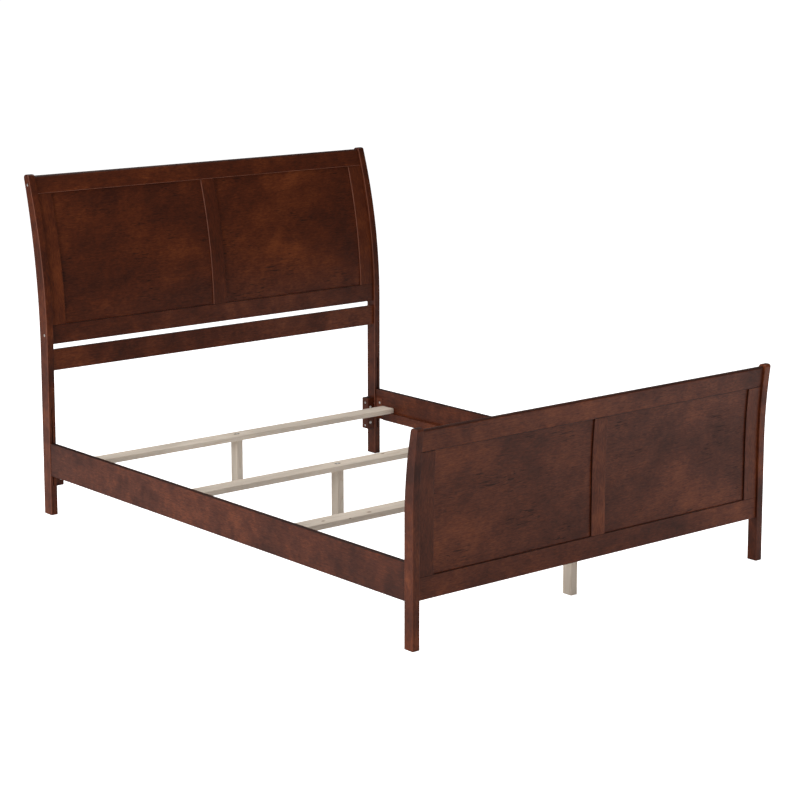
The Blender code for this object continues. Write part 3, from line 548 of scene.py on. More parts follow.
# Knots in the slats: their centres and radii.
PINE_KNOTS = (
    ((-0.5404, -0.3399, 0.2105), 0.0055),
    ((-0.3488, -0.3479, 0.2105), 0.0065),
    ((-0.4475, -0.3708, 0.2105), 0.0045),
    ((0.2274, 0.2825, 0.2105), 0.0060),
)
# The painted shadow of a countersink round each leg screw's head.
SINK_SHADOW_RADIUS = 0.0092
# How strong the late wood is, and how much the tone varies along a board.
LATE_SHARE = 0.8
PINE_TONES = (0.86, 1.06)
PINE_SPECULAR = 0.35


def spots(tree, place, marks):
    """How far a point lies within any of the (centre, radius) marks."""
    total = 0.0
    for centre, radius in marks:
        one = group_node(tree, group("knot"), {"Vector": place, "Centre": centre, "Radius": radius})["Knot"]
        total = calc(tree, "MAXIMUM", total, one)
    return total


def countersink_shadows():
    """The centre and radius of the painted countersink shadow round each leg screw."""
    screws = [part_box(node_name) for node_name in sorted(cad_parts) if node_name.startswith("leg_screw")]
    return [((*((low + high) / 2)[:2], high.z), SINK_SHADOW_RADIUS) for low, high in screws]


def pine(name, grain, marked):
    """Bare planed pine, with the slats' knots and painted countersink shadows where it is marked."""
    if name in bpy.data.materials:
        return bpy.data.materials[name]
    finish = bpy.context.scene.pine_finish
    made, tree, shader = new_material(name)
    object_place = node(tree, "ShaderNodeTexCoord").outputs["Object"]
    values = {"Vector": object_place, "Rotation": GRAIN_TURN[grain]}
    place = node(tree, "ShaderNodeMapping", values).outputs[0]
    board = attribute(tree, "board", "Fac")
    grain_lines = group_node(tree, group("pine_grain"), {"Vector": place, "Board": board})
    late = calc(tree, "MULTIPLY", grain_lines["Late"], LATE_SHARE)
    colour = blend_colours(tree, late, finish.early_wood, finish.late_wood)
    shaded = remap(tree, grain_lines["Tone"], 0.3, 0.7, *PINE_TONES)
    grey = node(tree, "ShaderNodeCombineColor", {0: shaded, 1: shaded, 2: shaded}).outputs[0]
    colour = blend_colours(tree, 1.0, colour, grey, "MULTIPLY")
    if marked:
        colour = blend_colours(tree, spots(tree, object_place, PINE_KNOTS), colour, finish.knot)
        # Painted shadow round each leg screw's head.
        colour = blend_colours(tree, spots(tree, object_place, countersink_shadows()), colour, finish.shadow)
    tree.links.new(colour, shader["Base Color"])
    dull = remap(tree, grain_lines["Late"], 0.0, 1.0, finish.roughness, finish.roughness - 0.12)
    tree.links.new(dull, shader["Roughness"])
    shader["Specular IOR Level"].default_value = PINE_SPECULAR
    bump(tree, shader, grain_lines["Height"], 0.35, 0.0005)
    return made


def steel(name="zinc_plated_steel"):
    """Bright zinc-plated steel."""
    if name in bpy.data.materials:
        return bpy.data.materials[name]
    finish = bpy.context.scene.steel_finish
    made, tree, shader = new_material(name)
    place = node(tree, "ShaderNodeTexCoord").outputs["Object"]
    marks = group_node(tree, group("plating"), {"Vector": place})
    tree.links.new(blend_colours(tree, marks["Dull"], finish.zinc, finish.dulled), shader["Base Color"])
    tree.links.new(remap(tree, marks["Dull"], 0.0, 1.0, 0.34, 0.52), shader["Roughness"])
    shader["Metallic"].default_value = 1.0
    bump(tree, shader, marks["Scratch"], 0.15, 0.0001)
    return made


# Meshes


def link_object(name, mesh, finish):
    made = bpy.data.objects.new(name, mesh)
    bpy.context.scene.collection.objects.link(made)
    if finish is not None:
        mesh.materials.clear()
        mesh.materials.append(finish)
    return made


def mark_board(made, board, grain):
    """Stores which board this is and where its ends are along the grain, for its material."""
    mesh = made.data
    places = [vertex.co["xyz".index(grain)] for vertex in mesh.vertices]
    count = len(mesh.vertices)
    number = mesh.attributes.new("board", "FLOAT", "POINT")
    number.data.foreach_set("value", [board] * count)
    ends = mesh.attributes.new("board_ends", "FLOAT_VECTOR", "POINT")
    ends.data.foreach_set("vector", [min(places), max(places), 0.0] * count)


def merged_copy(node_name):
    """A bmesh copy of a CAD node with its loose triangles merged and its flat faces joined."""
    work = bmesh.new()
    work.from_mesh(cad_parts[node_name].data)
    bmesh.ops.remove_doubles(work, verts=work.verts, dist=MERGE_DISTANCE)
    bmesh.ops.dissolve_limit(
        work, angle_limit=FLAT_ANGLE, use_dissolve_boundaries=False, verts=work.verts, edges=work.edges
    )
    return work


def finish_mesh(work, name):
    mesh = bpy.data.meshes.new(name)
    work.to_mesh(mesh)
    work.free()
    mesh.shade_smooth()
    mesh.set_sharp_from_angle(angle=SHARP_ANGLE)
    return mesh


def weighted(made):
    """Flat faces keep their shading up to the eased edges."""
    step = made.modifiers.new("flat_faces", "WEIGHTED_NORMAL")
    step.keep_sharp = True
    step.weight = 80


def hand_over(made, slot, *nodes):
    """The piece stands for these CAD nodes and moves with the bed."""
    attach(made, BODY)
    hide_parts(*nodes)


def rounded_block(name, low, high, radius, segments=3):
    """A closed block between two corners with rounded edges."""
    work = bmesh.new()
    bmesh.ops.create_cube(work, size=1.0)
    for vertex in work.verts:
        vertex.co = Vector(high[i] if vertex.co[i] > 0 else low[i] for i in range(3))
    bmesh.ops.bevel(
        work,
        geom=work.edges[:],
        offset=radius,
        segments=segments,
        profile=0.5,
        affect="EDGES",
        clamp_overlap=True,
    )
    bmesh.ops.recalc_face_normals(work, faces=work.faces)
    return finish_mesh(work, name)


def board_number(name):
    """A number for each board that doesn't change from run to run."""
    return sum((index + 3) * ord(letter) for index, letter in enumerate(name)) % 97 * 0.137


# Geometry node trees


class TreeMaker:
    """Builds one geometry node tree with named inputs, and one result."""

    def __init__(self, name, inputs):
        self.tree = bpy.data.node_groups.new(name, "GeometryNodeTree")
        face = self.tree.interface
        face.new_socket("Geometry", in_out="INPUT", socket_type="NodeSocketGeometry")
        for label, kind, value in inputs:
            socket = face.new_socket(label, in_out="INPUT", socket_type=kind)
            if value is not None:
                socket.default_value = value
        face.new_socket("Geometry", in_out="OUTPUT", socket_type="NodeSocketGeometry")
        self.given = self.tree.nodes.new("NodeGroupInput").outputs
        self.result = self.tree.nodes.new("NodeGroupOutput").inputs["Geometry"]

    def node(self, kind, values=None, **settings):
        return node(self.tree, kind, values, **settings).outputs

    def calc(self, operation, first, second=0.0):
        return self.node("ShaderNodeMath", {0: first, 1: second}, operation=operation)[0]

    def finish(self, geometry):
        """Ends the tree in real geometry with the given material."""
        real = self.node("GeometryNodeRealizeInstances", {0: geometry})[0]
        values = {"Geometry": real, "Material": self.given["Material"]}
        painted = self.node("GeometryNodeSetMaterial", values)[0]
        self.tree.links.new(painted, self.result)
        return self.tree


def curved_sheet_tree():
    """A thin sheet that stands across the bed and swings back along a circle above a given height."""
    maker = TreeMaker(
        "curved_sheet",
        [
            ("Centre", VECTOR, None),
            ("Width", FLOAT, 0.7),
            ("Height", FLOAT, 0.5),
            ("Thickness", FLOAT, 0.006),
            ("Rows", "NodeSocketInt", 40),
            ("Columns", "NodeSocketInt", 12),
            ("Curve Start", FLOAT, 0.65),
            ("Curve Radius", FLOAT, 1.85),
            ("Swing", FLOAT, 1.0),
            ("Material", "NodeSocketMaterial", None),
        ],
    )
    given = maker.given
    values = {0: given["Width"], 1: given["Thickness"], 2: given["Height"]}
    size = maker.node("ShaderNodeCombineXYZ", values)[0]
    values = {"Size": size, "Vertices X": given["Columns"], "Vertices Y": 2, "Vertices Z": given["Rows"]}
    sheet = maker.node("GeometryNodeMeshCube", values)["Mesh"]
    sheet = maker.node("GeometryNodeTransform", {"Geometry": sheet, "Translation": given["Centre"]})[0]
    height = maker.node("ShaderNodeSeparateXYZ", {0: maker.node("GeometryNodeInputPosition")[0]})["Z"]
    rise = maker.calc("MAXIMUM", maker.calc("SUBTRACT", height, given["Curve Start"]), 0.0)
    radius = given["Curve Radius"]
    radius_squared = maker.calc("MULTIPLY", radius, radius)
    squares = maker.calc("SUBTRACT", radius_squared, maker.calc("MULTIPLY", rise, rise))
    lean = maker.calc("SUBTRACT", radius, maker.calc("SQRT", squares))
    swung = maker.node("ShaderNodeCombineXYZ", {1: maker.calc("MULTIPLY", lean, given["Swing"])})[0]
    sheet = maker.node("GeometryNodeSetPosition", {"Geometry": sheet, "Offset": swung})[0]
    return maker.finish(sheet)


def slat_row_tree():
    """Repeats one slat or leg from the head to the foot of the bed, the middle ones drawn together."""
    maker = TreeMaker(
        "slat_row",
        [
            ("Count", "NodeSocketInt", 4),
            ("First", FLOAT, 0.9),
            ("Last", FLOAT, -0.97),
            ("Middle Draw", FLOAT, 0.0115),
            ("Material", "NodeSocketMaterial", None),
        ],
    )
    given = maker.given
    index = maker.node("GeometryNodeInputIndex")[0]
    gaps = maker.calc("SUBTRACT", given["Count"], 1.0)
    share = maker.calc("DIVIDE", index, gaps)
    span = maker.calc("SUBTRACT", given["Last"], given["First"])
    even = maker.calc("ADD", given["First"], maker.calc("MULTIPLY", span, share))
    from_middle = maker.calc("SUBTRACT", 0.5, share)
    side = maker.calc("SIGN", from_middle)
    inner = maker.calc("LESS_THAN", maker.calc("ABSOLUTE", from_middle), 0.499)
    drawn = maker.calc("MULTIPLY", maker.calc("MULTIPLY", side, inner), given["Middle Draw"])
    place = maker.node("ShaderNodeCombineXYZ", {1: maker.calc("SUBTRACT", even, drawn)})[0]
    row = maker.node("GeometryNodeMeshLine", {"Count": given["Count"]}, mode="OFFSET")[0]
    row = maker.node("GeometryNodeSetPosition", {"Geometry": row, "Position": place})[0]
    copies = maker.node("GeometryNodeInstanceOnPoints", {"Points": row, "Instance": given["Geometry"]})[0]
    number = maker.calc("ADD", maker.calc("MULTIPLY", index, 1.37), 0.4)
    values = {"Geometry": copies, "Name": "board", "Value": number}
    copies = maker.node(
        "GeometryNodeStoreNamedAttribute", values, data_type="FLOAT", domain="INSTANCE"
    )["Geometry"]
    return maker.finish(copies)


def fastener_tree():
    """Sets one fastener at each point of the geometry, turned along that point's own direction."""
    maker = TreeMaker(
        "fasteners_at_seats",
        [
            ("Fastener", "NodeSocketObject", None),
            ("Scale", FLOAT, 1.0),
            ("Material", "NodeSocketMaterial", None),
        ],
    )
    given = maker.given
    blank = maker.node("GeometryNodeObjectInfo", {"Object": given["Fastener"]})["Geometry"]
    way = maker.node("GeometryNodeInputNamedAttribute", {"Name": "way_out"}, data_type="FLOAT_VECTOR")[0]
    turn = maker.node("FunctionNodeAlignRotationToVector", {"Vector": way}, axis="Z")[0]
    values = {"Points": given["Geometry"], "Instance": blank, "Rotation": turn, "Scale": given["Scale"]}
    return maker.finish(maker.node("GeometryNodeInstanceOnPoints", values)[0])


TREES = {}


def geometry_tree(name):
    makers = {"curved_sheet": curved_sheet_tree, "slat_row": slat_row_tree, "fasteners": fastener_tree}
    if name not in TREES:
        TREES[name] = makers[name]()
    return TREES[name]


def grown_from(host, tree, values):
    """The plain mesh that a geometry node tree makes on host. values are its inputs by name."""
    step = host.modifiers.new("maker", "NODES")
    step.node_group = tree
    sockets = {item.name: item.identifier for item in tree.interface.items_tree if item.in_out == "INPUT"}
    for label, value in values.items():
        step[sockets[label]] = value
    host.update_tag()
    graph = bpy.context.evaluated_depsgraph_get()
    mesh = bpy.data.meshes.new_from_object(host.evaluated_get(graph))
    host.modifiers.remove(step)
    return mesh


# Pieces

# Edge tones run from 1, a painted highlight, to -1, painted shade; in a side rail's pocket a positive tone
# stands for bare wood.
# Painted highlight on each post's eased front-left edge, stronger on the headboard.
POST_EDGE_TONES = {"headboard": 0.45, "footboard": 0.1}
# Painted highlight along the headboard's top rail, painted shade along the panel edges of the other rails.
RAIL_EDGE_TONES = {
    "headboard_top_rail": 1.0,
    "headboard_bottom_rail": -0.9,
    "footboard_top_rail": -1.0,
    "footboard_bottom_rail": -0.9,
}
# Painted shade along the stiles' eased panel edges.
STILE_EDGE_TONE = -0.35
# The stiles' left sides down to the panels: painted highlight on the headboard, painted shade on the
# footboard.
RECESS_TONES = {"headboard": 0.5, "footboard": -0.7}
# Painted shade on the top faces of the top rails and the side rails.
TOP_TONE, RAIL_TOP_TONE = -0.7, -0.85
# Bare wood on the side rails' pocket floors.
POCKET_TONE = 0.3
# The upward part of the normal from which a face counts as part of a rail's top.
TOP_FACES_FROM = {"headboard": 0.5, "footboard": 0.2, "side": 0.6}
# The footboard's top rail is eased more along its panels than the others.
EASED_MORE = {"footboard_top_rail": 1.8}
# A pocket in a side rail is at least this deep.
LEAST_POCKET = 0.0025
# How close a point is to a plane or a board's face to count as on it.
ON_LEVEL, ON_SIDE, ON_FACE = 0.0003, 0.0002, 0.0004

# The figure of each kind of board.
UPRIGHT_FIGURE = {"tone": -0.06, "Clouds": 1.6}
ACROSS_TONES = {"headboard": 0.02, "footboard": -0.02}
STILE_FIGURE = {"tone": 0.03, "Blotches": 0.8, "Clouds": 0.7}
PANEL_FIGURE = {"tone": 0.02, "Figure": 0.35, "Clouds": 0.55, "Cracks": 1.0}
PANEL_BLOTCHES = {"headboard": 1.25, "footboard": 1.0}
PANEL_THICKNESS = 0.006
# The boards of each side: their grain, and how far each one's number is moved.
SIDE_BOARDS = {"side_rail": ("y", 0.0), "slat_cleat": ("y", -0.06), "corner_block": ("z", 0.0)}


def tone_layer(work):
    return work.faces.layers.float.get("edge_tone") or work.faces.layers.float.new("edge_tone")


def tone_faces(work, wanted, tone):
    """Gives the faces for which wanted(face) is true their edge tone."""
    layer = tone_layer(work)
    for face in work.faces:
        if wanted(face):
            face[layer] = tone


def eased_edges(work, wanted, width, tone, segments=3):
    """Rounds the edges for which wanted(edge) is true, and gives the rounding its tone."""
    layer = tone_layer(work)
    edges = [edge for edge in work.edges if wanted(edge)]
    if edges:
        eased = bmesh.ops.bevel(
            work, geom=edges, offset=width, segments=segments, profile=0.5, affect="EDGES"
        )
        for face in eased["faces"]:
            face[layer] = tone


def swing(z, curve):
    start, radius, way = curve
    rise = max(0.0, z - start)
    return way * (radius - math.sqrt(radius * radius - rise * rise))


def board_of(name):
    """The curve and the plumb front face of the board that a frame member belongs to."""
    if name.startswith("headboard"):
        return HEAD_CURVE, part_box("headboard_lower_rail")[0].y
    return FOOT_CURVE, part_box("footboard_bottom_rail")[0].y


def on_front(point, curve, face):
    return abs(point.y - face - swing(point.z, curve)) < ON_FACE


def finish_board(work, name, finish, grain, moved=0.0):
    """Makes a CAD board's finished piece from a merged copy of it."""
    piece = link_object(f"{name}_finished", finish_mesh(work, name), finish)
    mark_board(piece, board_number(name) + moved, grain)
    weighted(piece)
    hand_over(piece, "walnut", name)


class BED_OT_posts(bpy.types.Operator):
    """Makes the four curved posts with their slots and bolt holes"""

    bl_idname = "sleigh_bed.posts"
    bl_label = "Posts"
    bl_options = {"REGISTER", "UNDO"}

    def execute(self, context):
        def left_front_edge(face):
            return -0.95 < face.normal.x < -0.2 and face.normal.y < -0.2

        for name in WALNUT_NODES["posts"]:
            work = merged_copy(name)
            # Paints a highlight on each post's eased front-left edge.
            tone_faces(work, left_front_edge, POST_EDGE_TONES[name.split("_")[0]])
            finish_board(work, name, walnut("walnut_upright", "z", **UPRIGHT_FIGURE), "z")
        return {"FINISHED"}


class BED_OT_frame_rails(bpy.types.Operator):
    """Makes the rails of the headboard and the footboard, eased along each panel"""

    bl_idname = "sleigh_bed.frame_rails"
    bl_label = "Frame rails"
    bl_options = {"REGISTER", "UNDO"}

    def execute(self, context):
        for name in WALNUT_NODES["rails"]:
            curve, front = board_of(name)
            board = name.split("_")[0]
            work = merged_copy(name)
            low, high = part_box(name)
            edge_z = low.z if "top" in name else high.z

            def faces_panel(edge):
                first, second = (vertex.co for vertex in edge.verts)
                level = abs(first.z - edge_z) < ON_LEVEL and abs(second.z - edge_z) < ON_LEVEL
                in_front = on_front(first, curve, front) and on_front(second, curve, front)
                return level and in_front and abs(first.x - second.x) > 0.01

            # The rounding along the panels gets a painted highlight on the headboard's top rail and painted
            # shade on the other rails.
            if name in RAIL_EDGE_TONES:
                width = context.scene.bed_sizes.rail_edge * EASED_MORE.get(name, 1.0)
                eased_edges(work, faces_panel, width, RAIL_EDGE_TONES[name])
            if "top" in name:
                # Painted shade on the top faces.
                tone_faces(work, lambda face: face.normal.z > TOP_FACES_FROM[board], TOP_TONE)
            finish = walnut(f"walnut_across_{board}", "x", curve, tone=ACROSS_TONES[board])
            finish_board(work, name, finish, "x")
        return {"FINISHED"}


class BED_OT_stiles(bpy.types.Operator):
    """Makes the three stiles of each board, eased along the panels"""

    bl_idname = "sleigh_bed.stiles"
    bl_label = "Stiles"
    bl_options = {"REGISTER", "UNDO"}

    def execute(self, context):
        def recess_side(face):
            """A narrow left side that goes down to the panel."""
            return face.normal.x < -0.9 and face.calc_center_median().x > -0.7

        for name in WALNUT_NODES["stiles"]:
            curve, front = board_of(name)
            board, _, where = name.split("_")
            low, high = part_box(name)
            sides = {"left": (high.x,), "centre": (low.x, high.x), "right": (low.x,)}[where]
            work = merged_copy(name)

            def faces_panel(edge):
                first, second = (vertex.co for vertex in edge.verts)
                upright = any(abs(first.x - x) < ON_SIDE and abs(second.x - x) < ON_SIDE for x in sides)
                return upright and on_front(first, curve, front) and on_front(second, curve, front)

            # Painted shade along the eased panel edges; on the left sides down to the panels a painted
            # highlight on the headboard and painted shade on the footboard.
            eased_edges(work, faces_panel, context.scene.bed_sizes.rail_edge, STILE_EDGE_TONE)
            tone_faces(work, recess_side, RECESS_TONES[board])
            finish_board(work, name, walnut(f"walnut_upright_{board}", "z", curve, **STILE_FIGURE), "z")
        return {"FINISHED"}


class BED_OT_panels(bpy.types.Operator):
    """Makes the four thin curved panels"""

    bl_idname = "sleigh_bed.panels"
    bl_label = "Panels"
    bl_options = {"REGISTER", "UNDO"}

    def execute(self, context):
        for name in WALNUT_NODES["panels"]:
            curve, _ = board_of(name)
            board = name.split("_")[0]
            low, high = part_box(name)
            front = low.y - min(0.0, swing(high.z, curve))
            host = link_object("host", bpy.data.meshes.new("host"), None)
            figure = {**PANEL_FIGURE, "Blotches": PANEL_BLOTCHES[board]}
            values = {
                "Centre": ((low.x + high.x) / 2, front + PANEL_THICKNESS / 2, (low.z + high.z) / 2),
                "Width": high.x - low.x,
                "Height": high.z - low.z,
                "Thickness": PANEL_THICKNESS,
                "Rows": context.scene.bed_sizes.panel_rows,
                "Curve Start": curve[0],
                "Curve Radius": curve[1],
                "Swing": curve[2],
                "Material": walnut(f"walnut_panel_{board}", "x", curve, **figure),
            }
            mesh = grown_from(host, geometry_tree("curved_sheet"), values)
            bpy.data.objects.remove(host)
            mesh.shade_smooth()
            mesh.set_sharp_from_angle(angle=SHARP_ANGLE)
            piece = link_object(f"{name}_finished", mesh, None)
            mark_board(piece, board_number(name), "x")
            hand_over(piece, "walnut_panel", name)
        return {"FINISHED"}


class BED_OT_side_rails(bpy.types.Operator):
    """Makes the two side rails, their slat cleats and the two corner blocks"""

    bl_idname = "sleigh_bed.side_rails"
    bl_label = "Side rails, cleats and blocks"
    bl_options = {"REGISTER", "UNDO"}

    def execute(self, context):
        for side in ("left", "right"):
            for kind, (grain, moved) in SIDE_BOARDS.items():
                name = f"{kind}_{side}"
                work = merged_copy(name)
                low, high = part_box(name)

                def pocket_floor(face):
                    sunk = low.x + LEAST_POCKET < face.calc_center_median().x < high.x - LEAST_POCKET
                    return sunk and abs(face.normal.x) > 0.9

                if kind == "side_rail":
                    tone_faces(work, pocket_floor, POCKET_TONE)
                    # Painted shade on the side rails' top faces.
                    tone_faces(work, lambda face: face.normal.z > TOP_FACES_FROM["side"], RAIL_TOP_TONE)
                finish_name = "walnut_lengthwise" if grain == "y" else "walnut_upright"
                finish_board(work, name, walnut(finish_name, grain, **UPRIGHT_FIGURE), grain, moved)
        return {"FINISHED"}


class BED_OT_slats(bpy.types.Operator):
    """Makes the row of pine slats and the row of legs under them"""

    bl_idname = "sleigh_bed.slats"
    bl_label = "Slats and legs"
    bl_options = {"REGISTER", "UNDO"}

    def execute(self, context):
        sizes = context.scene.bed_sizes
        for kind, grain, label in (("slat", "x", "slats"), ("centre_leg", "z", "centre_legs")):
            names = [f"{kind}_{number}" for number in SLAT_NUMBERS]
            low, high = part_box(names[0])
            last_low, last_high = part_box(names[-1])
            half_depth = (high.y - low.y) / 2
            corners = (low.x, -half_depth, low.z), (high.x, half_depth, high.z)
            host = link_object("host", rounded_block("host", *corners, sizes.slat_edge), None)
            values = {
                "Count": len(names),
                "First": (low.y + high.y) / 2,
                "Last": (last_low.y + last_high.y) / 2,
                "Middle Draw": sizes.middle_draw,
                "Material": pine(f"pine_{label}", grain, marked=kind == "slat"),
            }
            made = grown_from(host, geometry_tree("slat_row"), values)
            bpy.data.objects.remove(host)
            made.set_sharp_from_angle(angle=SHARP_ANGLE)
            piece = link_object(label, made, None)
            weighted(piece)
            hand_over(piece, "pine", *names)
        return {"FINISHED"}


# Fasteners

FASTENER_SIDES = 24
# Each kind of fastener: the style and the height of its head, and its shank's radius.
FASTENERS = {
    "frame_bolt": ("socketed", 0.0030, 0.003),
    "block_bolt": ("crossed", 0.0032, 0.003),
    "plate_screw": ("crossed", 0.0026, 0.002),
    "leg_screw": ("crossed", 0.0018, 0.0023),
}
# How far a head stands above its CAD node.
PROUD = {"leg_screw": 0.0021}
# The rings of a cross-headed screw's dome, and its recess, as shares of the head's radius.
DOME_RINGS = (0.14, 0.30, 0.46, 0.60, 0.78, 0.92, 1.0)
CROSS_REACH, CROSS_HALF_WIDTH, CROSS_DEPTH = 0.61, 0.07, 0.34
# A socket's radius as a share of the head's, and its depth as a share of its radius.
SOCKET_SHARE, SOCKET_DEPTH = 0.42, 0.8
SOCKET_SIDE = math.pi / 3
# Flush screws in each corner block's inner face: how far back from its front and above its foot they stand.
BLOCK_SCREWS = ((0.0183, 0.109), (0.0183, 0.0125))
BLOCK_SCREW = {"radius": 0.0042, "height": 0.0, "shank": 0.002, "length": 0.012, "cone": 0.003}
BLOCK_SCREW_PROUD = 0.00005


def spun(profile):
    """A turned bmesh from a (radius, height) profile that runs from pole to pole."""
    work = bmesh.new()
    points = [work.verts.new((radius, 0.0, height)) for radius, height in profile]
    edges = [work.edges.new(pair) for pair in zip(points, points[1:])]
    bmesh.ops.spin(
        work,
        geom=points + edges,
        cent=(0.0, 0.0, 0.0),
        axis=(0.0, 0.0, 1.0),
        angle=2 * math.pi,
        steps=FASTENER_SIDES,
        use_duplicate=False,
    )
    bmesh.ops.remove_doubles(work, verts=work.verts, dist=0.000005)
    bmesh.ops.recalc_face_normals(work, faces=work.faces)
    return work


def socketed(radius, height, shank, length):
    """A domed bolt head above 0 with a six-sided socket, and its shank below."""
    socket = radius * SOCKET_SHARE
    floor = height - socket * SOCKET_DEPTH
    profile = [(0.0, floor), (socket * 0.98, floor), (socket, height * 0.96)]
    for step in range(7):
        angle = math.pi / 2 * step / 6
        dome = height * (0.35 + 0.65 * math.cos(angle))
        profile.append((socket + (radius - socket) * math.sin(angle), dome))
    profile += [(radius, 0.0), (shank, 0.0), (shank, shank - length), (0.0, -length)]
    work = spun(profile)
    for vertex in work.verts:
        reach = math.hypot(vertex.co.x, vertex.co.y)
        if 0.0 < reach < socket * 1.01 and vertex.co.z > 0.0:
            turn = math.atan2(vertex.co.y, vertex.co.x) % SOCKET_SIDE - SOCKET_SIDE / 2
            vertex.co.xy *= math.cos(SOCKET_SIDE / 2) / math.cos(turn)
    return work


def crossed(radius, height, shank, length, cone=0.0):
    """A screw head with a cross recess: domed above 0 by height, or flush with a cone below."""
    rim = height * 0.5
    profile = [(0.0, height)]
    profile += [(radius * ring, rim + (height - rim) * (1 - ring * ring)) for ring in DOME_RINGS]
    if height:
        profile.append((radius, 0.0))
    profile += [(shank, -cone), (shank, 2 * shank - length), (0.0, -length)]
    work = spun(profile)
    for vertex in work.verts:
        across = math.hypot(vertex.co.x, vertex.co.y)
        in_arm = min(abs(vertex.co.x), abs(vertex.co.y)) < radius * CROSS_HALF_WIDTH
        if across < radius * CROSS_REACH and in_arm and vertex.co.z > rim - 0.00001:
            vertex.co.z -= radius * CROSS_DEPTH
    return work


def way_out(name):
    """The way that a fastener's head faces."""
    side = -1.0 if name.endswith("left") else 1.0
    ways = {
        "frame": (side, 0.0, 0.0),
        "plate": (-side, 0.0, 0.0),
        "block": (0.0, -1.0, 0.0),
        "leg": (0.0, 0.0, 1.0),
    }
    return Vector(ways[name.split("_")[0]])


def fastener_row(label, blank, seats):
    """One piece with a copy of blank at each (place, way out) seat."""
    model = link_object("blank", finish_mesh(blank, "blank"), None)
    mesh = bpy.data.meshes.new("seats")
    mesh.from_pydata([place for place, _ in seats], [], [])
    ways = mesh.attributes.new("way_out", "FLOAT_VECTOR", "POINT")
    ways.data.foreach_set("vector", [value for _, way in seats for value in way])
    host = link_object("seats", mesh, None)
    values = {"Fastener": model, "Scale": 1.0, "Material": steel()}
    made = grown_from(host, geometry_tree("fasteners"), values)
    for used in (host, model):
        bpy.data.objects.remove(used)
    return link_object(label, made, None)


def fasteners_of(kind):
    """The piece that stands for all the CAD fasteners of one kind."""
    style, height, shank = FASTENERS[kind]
    names = sorted(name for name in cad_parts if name.startswith(kind))
    seats = []
    for name in names:
        low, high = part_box(name)
        way = way_out(name)
        axis = max(range(3), key=lambda i: abs(way[i]))
        size = high - low
        place = (low + high) / 2 + way * (size[axis] / 2 - height + PROUD.get(kind, 0.0))
        seats.append((tuple(place), tuple(way)))
    values = (size[(axis + 1) % 3] / 2, height, shank, size[axis] - height)
    blank = socketed(*values) if style == "socketed" else crossed(*values)
    hand_over(fastener_row(f"{kind}s", blank, seats), "steel", *names)


def block_screws():
    """The flush screws that hold the corner blocks to the posts. No CAD node stands for them."""
    seats = []
    for side, name in ((-1.0, "corner_block_left"), (1.0, "corner_block_right")):
        low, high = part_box(name)
        inner = high.x if side < 0 else low.x
        for back, rise in BLOCK_SCREWS:
            place = (inner - side * BLOCK_SCREW_PROUD, low.y + back, low.z + rise)
            seats.append((place, (-side, 0.0, 0.0)))
    piece = fastener_row("block_screws", crossed(**BLOCK_SCREW), seats)
    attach(piece, BODY)


class BED_OT_fasteners(bpy.types.Operator):
    """Makes the bolts and screws at their seats, and plates the hooks and their pins"""

    bl_idname = "sleigh_bed.fasteners"
    bl_label = "Bolts, screws and hooks"
    bl_options = {"REGISTER", "UNDO"}

    def execute(self, context):
        for kind in FASTENERS:
            fasteners_of(kind)
        block_screws()
        for name, node_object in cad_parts.items():
            if name.startswith("hook_"):
                mesh = node_object.data
                mesh.materials.clear()
                mesh.materials.append(steel())
        return {"FINISHED"}


# The stage

FLOOR_RADIUS, FLOOR_DROP = 90.0, 0.0005
FLOOR_GREY, FLOOR_ROUGHNESS = 0.86, 0.9
SENSOR_WIDTH, FARTHEST_SEEN = 36.0, 400.0
# Each soft box: its place, the point that it faces, and its size.
SOFT_BOXES = {
    "key": ((-5.6, -0.3, 2.4), (0.0, -0.1, 0.4), (3.2, 2.6)),
    "top": ((0.0, 1.5, 5.0), (0.0, 0.0, 0.0), (5.0, 5.0)),
    "front": ((-0.7, -7.0, 2.6), (0.0, 0.0, 0.5), (2.5, 2.5)),
    "back": ((-2.2, 7.0, 3.8), (0.0, 0.6, 0.6), (3.0, 2.4)),
    "floor": ((2.8, -3.6, 4.0), (2.6, -3.2, 0.0), (3.0, 3.0)),
}
FLOOR_BEAM = math.radians(95.0)
WHITE = (1.0, 1.0, 1.0, 1.0)


def lay_floor():
    """A plain pale disc that the camera sees as white."""
    work = bmesh.new()
    bmesh.ops.create_circle(work, cap_ends=True, segments=96, radius=FLOOR_RADIUS)
    bmesh.ops.translate(work, vec=(0.0, 0.0, -FLOOR_DROP), verts=work.verts)
    mesh = bpy.data.meshes.new("floor")
    work.to_mesh(mesh)
    work.free()
    paint, tree, shader = new_material("pale_floor")
    shader["Base Color"].default_value = (FLOOR_GREY, FLOOR_GREY, FLOOR_GREY, 1.0)
    shader["Roughness"].default_value = FLOOR_ROUGHNESS
    shader["Specular IOR Level"].default_value = 0.0
    seen = node(tree, "ShaderNodeLightPath").outputs["Is Camera Ray"]
    glow = node(tree, "ShaderNodeEmission", {"Color": WHITE, "Strength": 1.0})
    none = node(tree, "ShaderNodeEmission", {"Strength": 0.0})
    pick = node(tree, "ShaderNodeMixShader", {0: seen, 1: none.outputs[0], 2: glow.outputs[0]})
    lit = tree.nodes["Principled BSDF"].outputs[0]
    both = node(tree, "ShaderNodeAddShader", {0: lit, 1: pick.outputs[0]})
    tree.links.new(both.outputs[0], tree.nodes["Material Output"].inputs["Surface"])
    link_object("pale_floor", mesh, paint)


